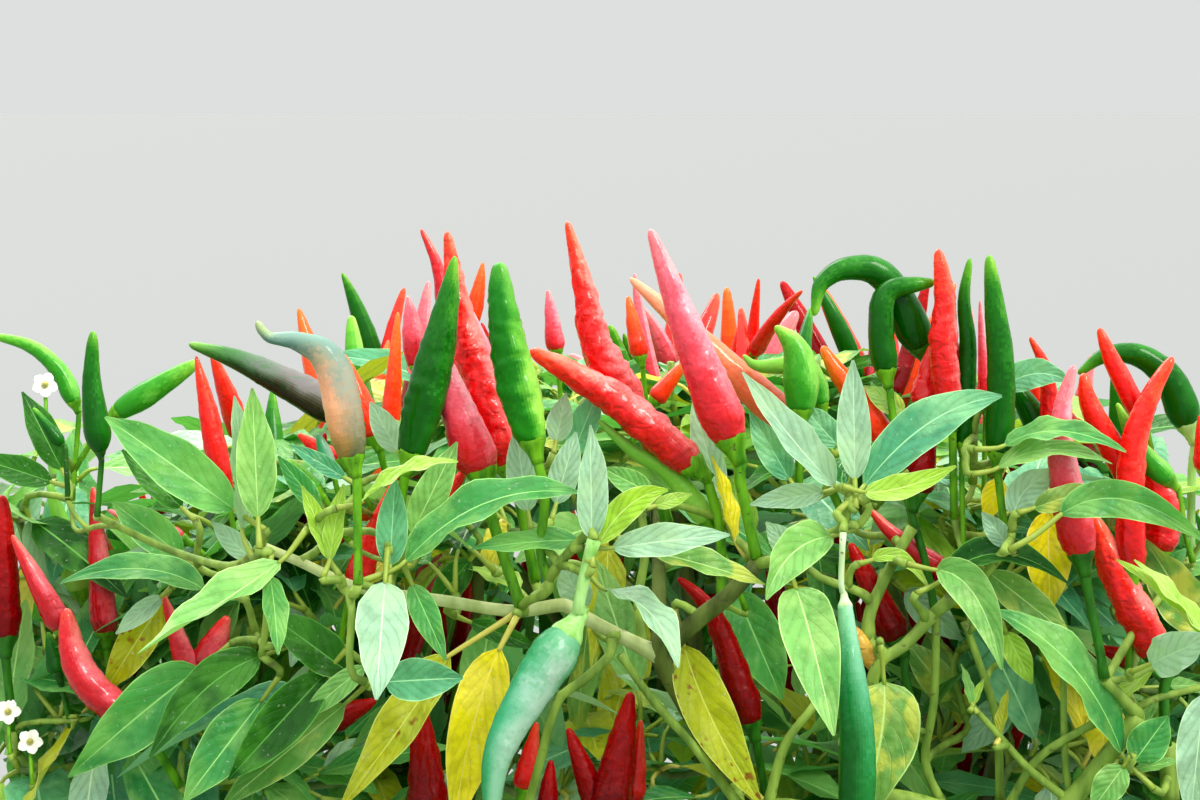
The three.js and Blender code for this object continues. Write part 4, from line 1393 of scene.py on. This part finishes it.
def grow_pod(node, way, chance, low):
    """A pod on its stalk from a node of the crown, where it has room."""
    kind = chance.choices(list(CROWN_PODS), [weights[low] for weights in CROWN_PODS.values()])[0]
    length = chance.uniform(*POD_LENGTHS) * MM
    width = length * chance.uniform(*POD_WIDTHS)
    stalk_length = chance.uniform(*STALK_LENGTHS) * MM
    bend = np.array([chance.gauss(0, 0.12) for _ in range(3)])
    leaving = unit(way + 0.4 * swayed(chance, 1, 0.2))
    neck = node + stalk_length * unit(leaving + 0.6 * way)
    t = np.linspace(0, 1, 12)[:, None]
    line = neck + way * length * t + bend * length * t**2
    if not all(clear_of_view(p, POD_LIFT, POD_DEPTH) for p in (line[0], line[6], line[-1])):
        return
    if not (inside_crown(line[-1]) and inside_crown(line[0])):
        return
    joints = [node, node + 0.45 * stalk_length * leaving]
    hang_pod(kind, line, width, joints, chance, chance.choice(("cone", "finger", "spindle")))


def grow_rosette(node, axis, count, size, chance, low, weights=FILL_WEIGHTS):
    """Leaves all round a node, on short petioles, the lower ones drooping."""
    side = unit(np.cross(axis, (0.2, 0.9, 0.1)))
    over = np.cross(axis, side)
    turn = chance.uniform(0, 2 * math.pi)
    for _ in range(count):
        turn += GOLDEN_TURN
        out = turned(turn, side, over)
        lean = math.radians(chance.uniform(*LEAF_LEANS) + (LOW_LEAN if low else 0))
        way = unit(turned(lean, axis, out) - chance.uniform(0, 0.45) * ABOVE)
        length = size * chance.uniform(0.72, 1.2)
        base = node + chance.uniform(*PETIOLE_LENGTHS) * MM * unit(0.6 * way + 0.5 * axis)
        tip = base + length * way
        if not (clear_of_view(tip) and clear_of_view((base + tip) / 2) and clear_of_view(base)):
            continue
        if not inside_crown(tip):
            continue
        facing = unit(ABOVE + 0.35 * out + swayed(chance, 0.3, 0))
        kind = chance.choices(list(LEAF_KINDS), weights)[0]
        width = length * chance.uniform(*LEAF_WIDTHS)
        leaving = add_leaf(kind, base, tip, facing, width, chance, False, chance.uniform(0.05, 0.2))
        add_petiole(kind, arc(node, unit(base - node), base + 0.5 * MM * leaving, leaving), sides=5)


def crown_targets():
    """Seeded points in every mass, more of them towards its outside, the nearest to CROWN_FOOT
    first."""
    found = []
    for name in MASS_NODES:
        tier = name.split("_")[1]
        chance = random.Random(f"crown {name}")
        points = vertices_of(name)
        centre = points.mean(0)
        for _ in range(NODES_PER_MASS[tier]):
            rim = points[chance.randrange(len(points))]
            target = centre + (rim - centre) * chance.uniform(0.3, 0.86)
            if clear_of_view(target):
                found.append((tier, target))
                chance.random()  # one draw more, which the later points build on
    found.sort(key=lambda entry: float(np.linalg.norm(entry[1] - CROWN_FOOT)))
    return found


def grow_crown():
    for index, (tier, target) in enumerate(crown_targets()):
        chance = random.Random(CROWN_SEED + index)
        low = tier in ("skirt", "under")
        out = target - np.array([-0.03, -0.004, 0.36 if low else 0.3])
        axis = unit(0.8 * unit(out) + (0.25 if low else 0.7) * ABOVE)
        tie(target, axis, TWIG_RADIUS, STEM_SHADED if low else STEM_GREEN, 6)
        size = chance.uniform(*LEAF_SIZES) * MM
        grow_rosette(target, axis, 4 if tier == "under" else 5, size, chance, low)
        pods = chance.choices((0, 1, 2), LOW_POD_COUNTS if low else POD_COUNTS)[0]
        for _ in range(pods):
            grow_pod(target, unit(swayed(chance, POD_LEAN, 1.0)), chance, low)
        if not low and chance.random() < FLOWER_SHARE:
            place = target + 0.02 * axis
            if clear_of_view(place):
                add_flower_stalk(arc(target, axis, place, axis), 0.5 * MM)
                add_flower(place, unit(axis + 0.4 * out), chance)


def grow_thickets():
    for index, place in enumerate(THICKETS):
        chance = random.Random(THICKET_SEED + index)
        node = seen(*place)
        axis = unit(np.array([chance.gauss(0, 0.4), -0.4 + chance.gauss(0, 0.3), 0.7]))
        tie(node, axis, TWIG_RADIUS, STEM_SHADED, 6)
        size = chance.uniform(*THICKET_SIZES) * MM
        grow_rosette(node, axis, 6, size, chance, True, PAINTED_LIGHT_THICKET_WEIGHTS)


def grow_shown_flowers():
    for index, place in enumerate(FLOWERS):
        centre = seen(*place, FLOWER_DEPTH)
        axis = unit(EYE - centre + 0.1 * ABOVE)
        joint = centre - 0.012 * unit(ABOVE - 0.5 * axis)
        tie(joint, unit(centre - joint), 0.8 * MM)
        add_flower_stalk(arc(joint, unit(centre - joint), centre, axis), 0.55 * MM)
        add_flower(centre, axis, random.Random(FLOWER_SEED + index))


def make_camera():
    data = bpy.data.cameras.new("photo_view")
    data.sensor_width = SENSOR_WIDTH_MM
    data.lens = SENSOR_WIDTH_MM * FOCAL_PIXELS / PHOTO_WIDTH
    data.clip_start = 0.01
    data.clip_end = 30
    camera = put_in_scene("photo_view", data)
    turn = Matrix((RIGHT, UP, -FORWARD)).transposed().to_4x4()
    camera.matrix_world = Matrix.Translation(Vector(EYE)) @ turn
    bpy.context.scene.camera = camera


def make_light(name, source, spread, power, tint):
    """Even light from a wide patch of sky. spread is its angle in degrees."""
    data = bpy.data.lights.new(name, "SUN")
    data.angle = math.radians(spread)
    data.energy = power
    data.color = colour(tint)[:3]
    light = put_in_scene(name, data)
    light.location = source
    light.rotation_mode = "QUATERNION"
    light.rotation_quaternion = (-Vector(source)).to_track_quat("-Z", "Y")


def make_floor():
    """A plain pale floor, of the same tone as the surround where they meet."""
    ground = Look("pale_floor", "#898A8A", 0.9, {"Specular IOR Level": 0.1})
    ground.bump(ground.noise(14, 2), 0.4 * MM)
    mesh = bpy.data.meshes.new("floor")
    reach = FLOOR_REACH
    corners = [(-reach, -reach, 0), (reach, -reach, 0), (reach, reach, 0), (-reach, reach, 0)]
    mesh.from_pydata(corners, [], [(0, 1, 2, 3)])
    mesh.materials.append(ground.material)
    floor = put_in_scene("floor", mesh)


def make_surround():
    """A pale surround that is brighter above, with soft daylight from the front and back."""
    world = bpy.data.worlds.new("pale_surround")
    world.use_nodes = True
    sky = Nodes(world.node_tree)
    height = sky.height(sky.node("ShaderNodeTexCoord").outputs["Generated"])
    rise = sky.node("ShaderNodeMapRange", {
        "Value": height, "From Min": 0.15, "From Max": 0.85, "To Min": 0.8, "To Max": 2.4})
    background = sky.tree.nodes["Background"]
    sky.put(background.inputs["Color"], "#F4F7F6")
    sky.put(background.inputs["Strength"], rise.outputs[0])
    bpy.context.scene.world = world
    make_light("key", source=(1.1, -1.0, 1.6), spread=20, power=2.05, tint="#FFFBF2")
    make_light("back", source=(-0.7, 1.2, 1.4), spread=40, power=2.15, tint="#FFFDF4")
    bpy.context.scene.view_settings.view_transform = "Standard"


make_camera()
make_floor()
make_surround()
grow_trunk()
grow_boughs()
for entry in SHOWN_STEMS:
    grow_shown_stem(**entry)
for number, entry in enumerate(SHOWN_PODS):
    grow_shown_pod(number, **entry)
for number, entry in enumerate(SHOWN_LEAVES):
    grow_shown_leaf(number, **entry)
grow_shown_flowers()
grow_crown()
grow_thickets()

trunk.build("main_stem")
boughs.build(*LIMB_NODES)
for piece in (twigs, stalks, red_pods, green_pods, shown_red_pods, shown_green_pods, blossom,
              *leaves.values()):
    piece.build(*MASS_NODES)
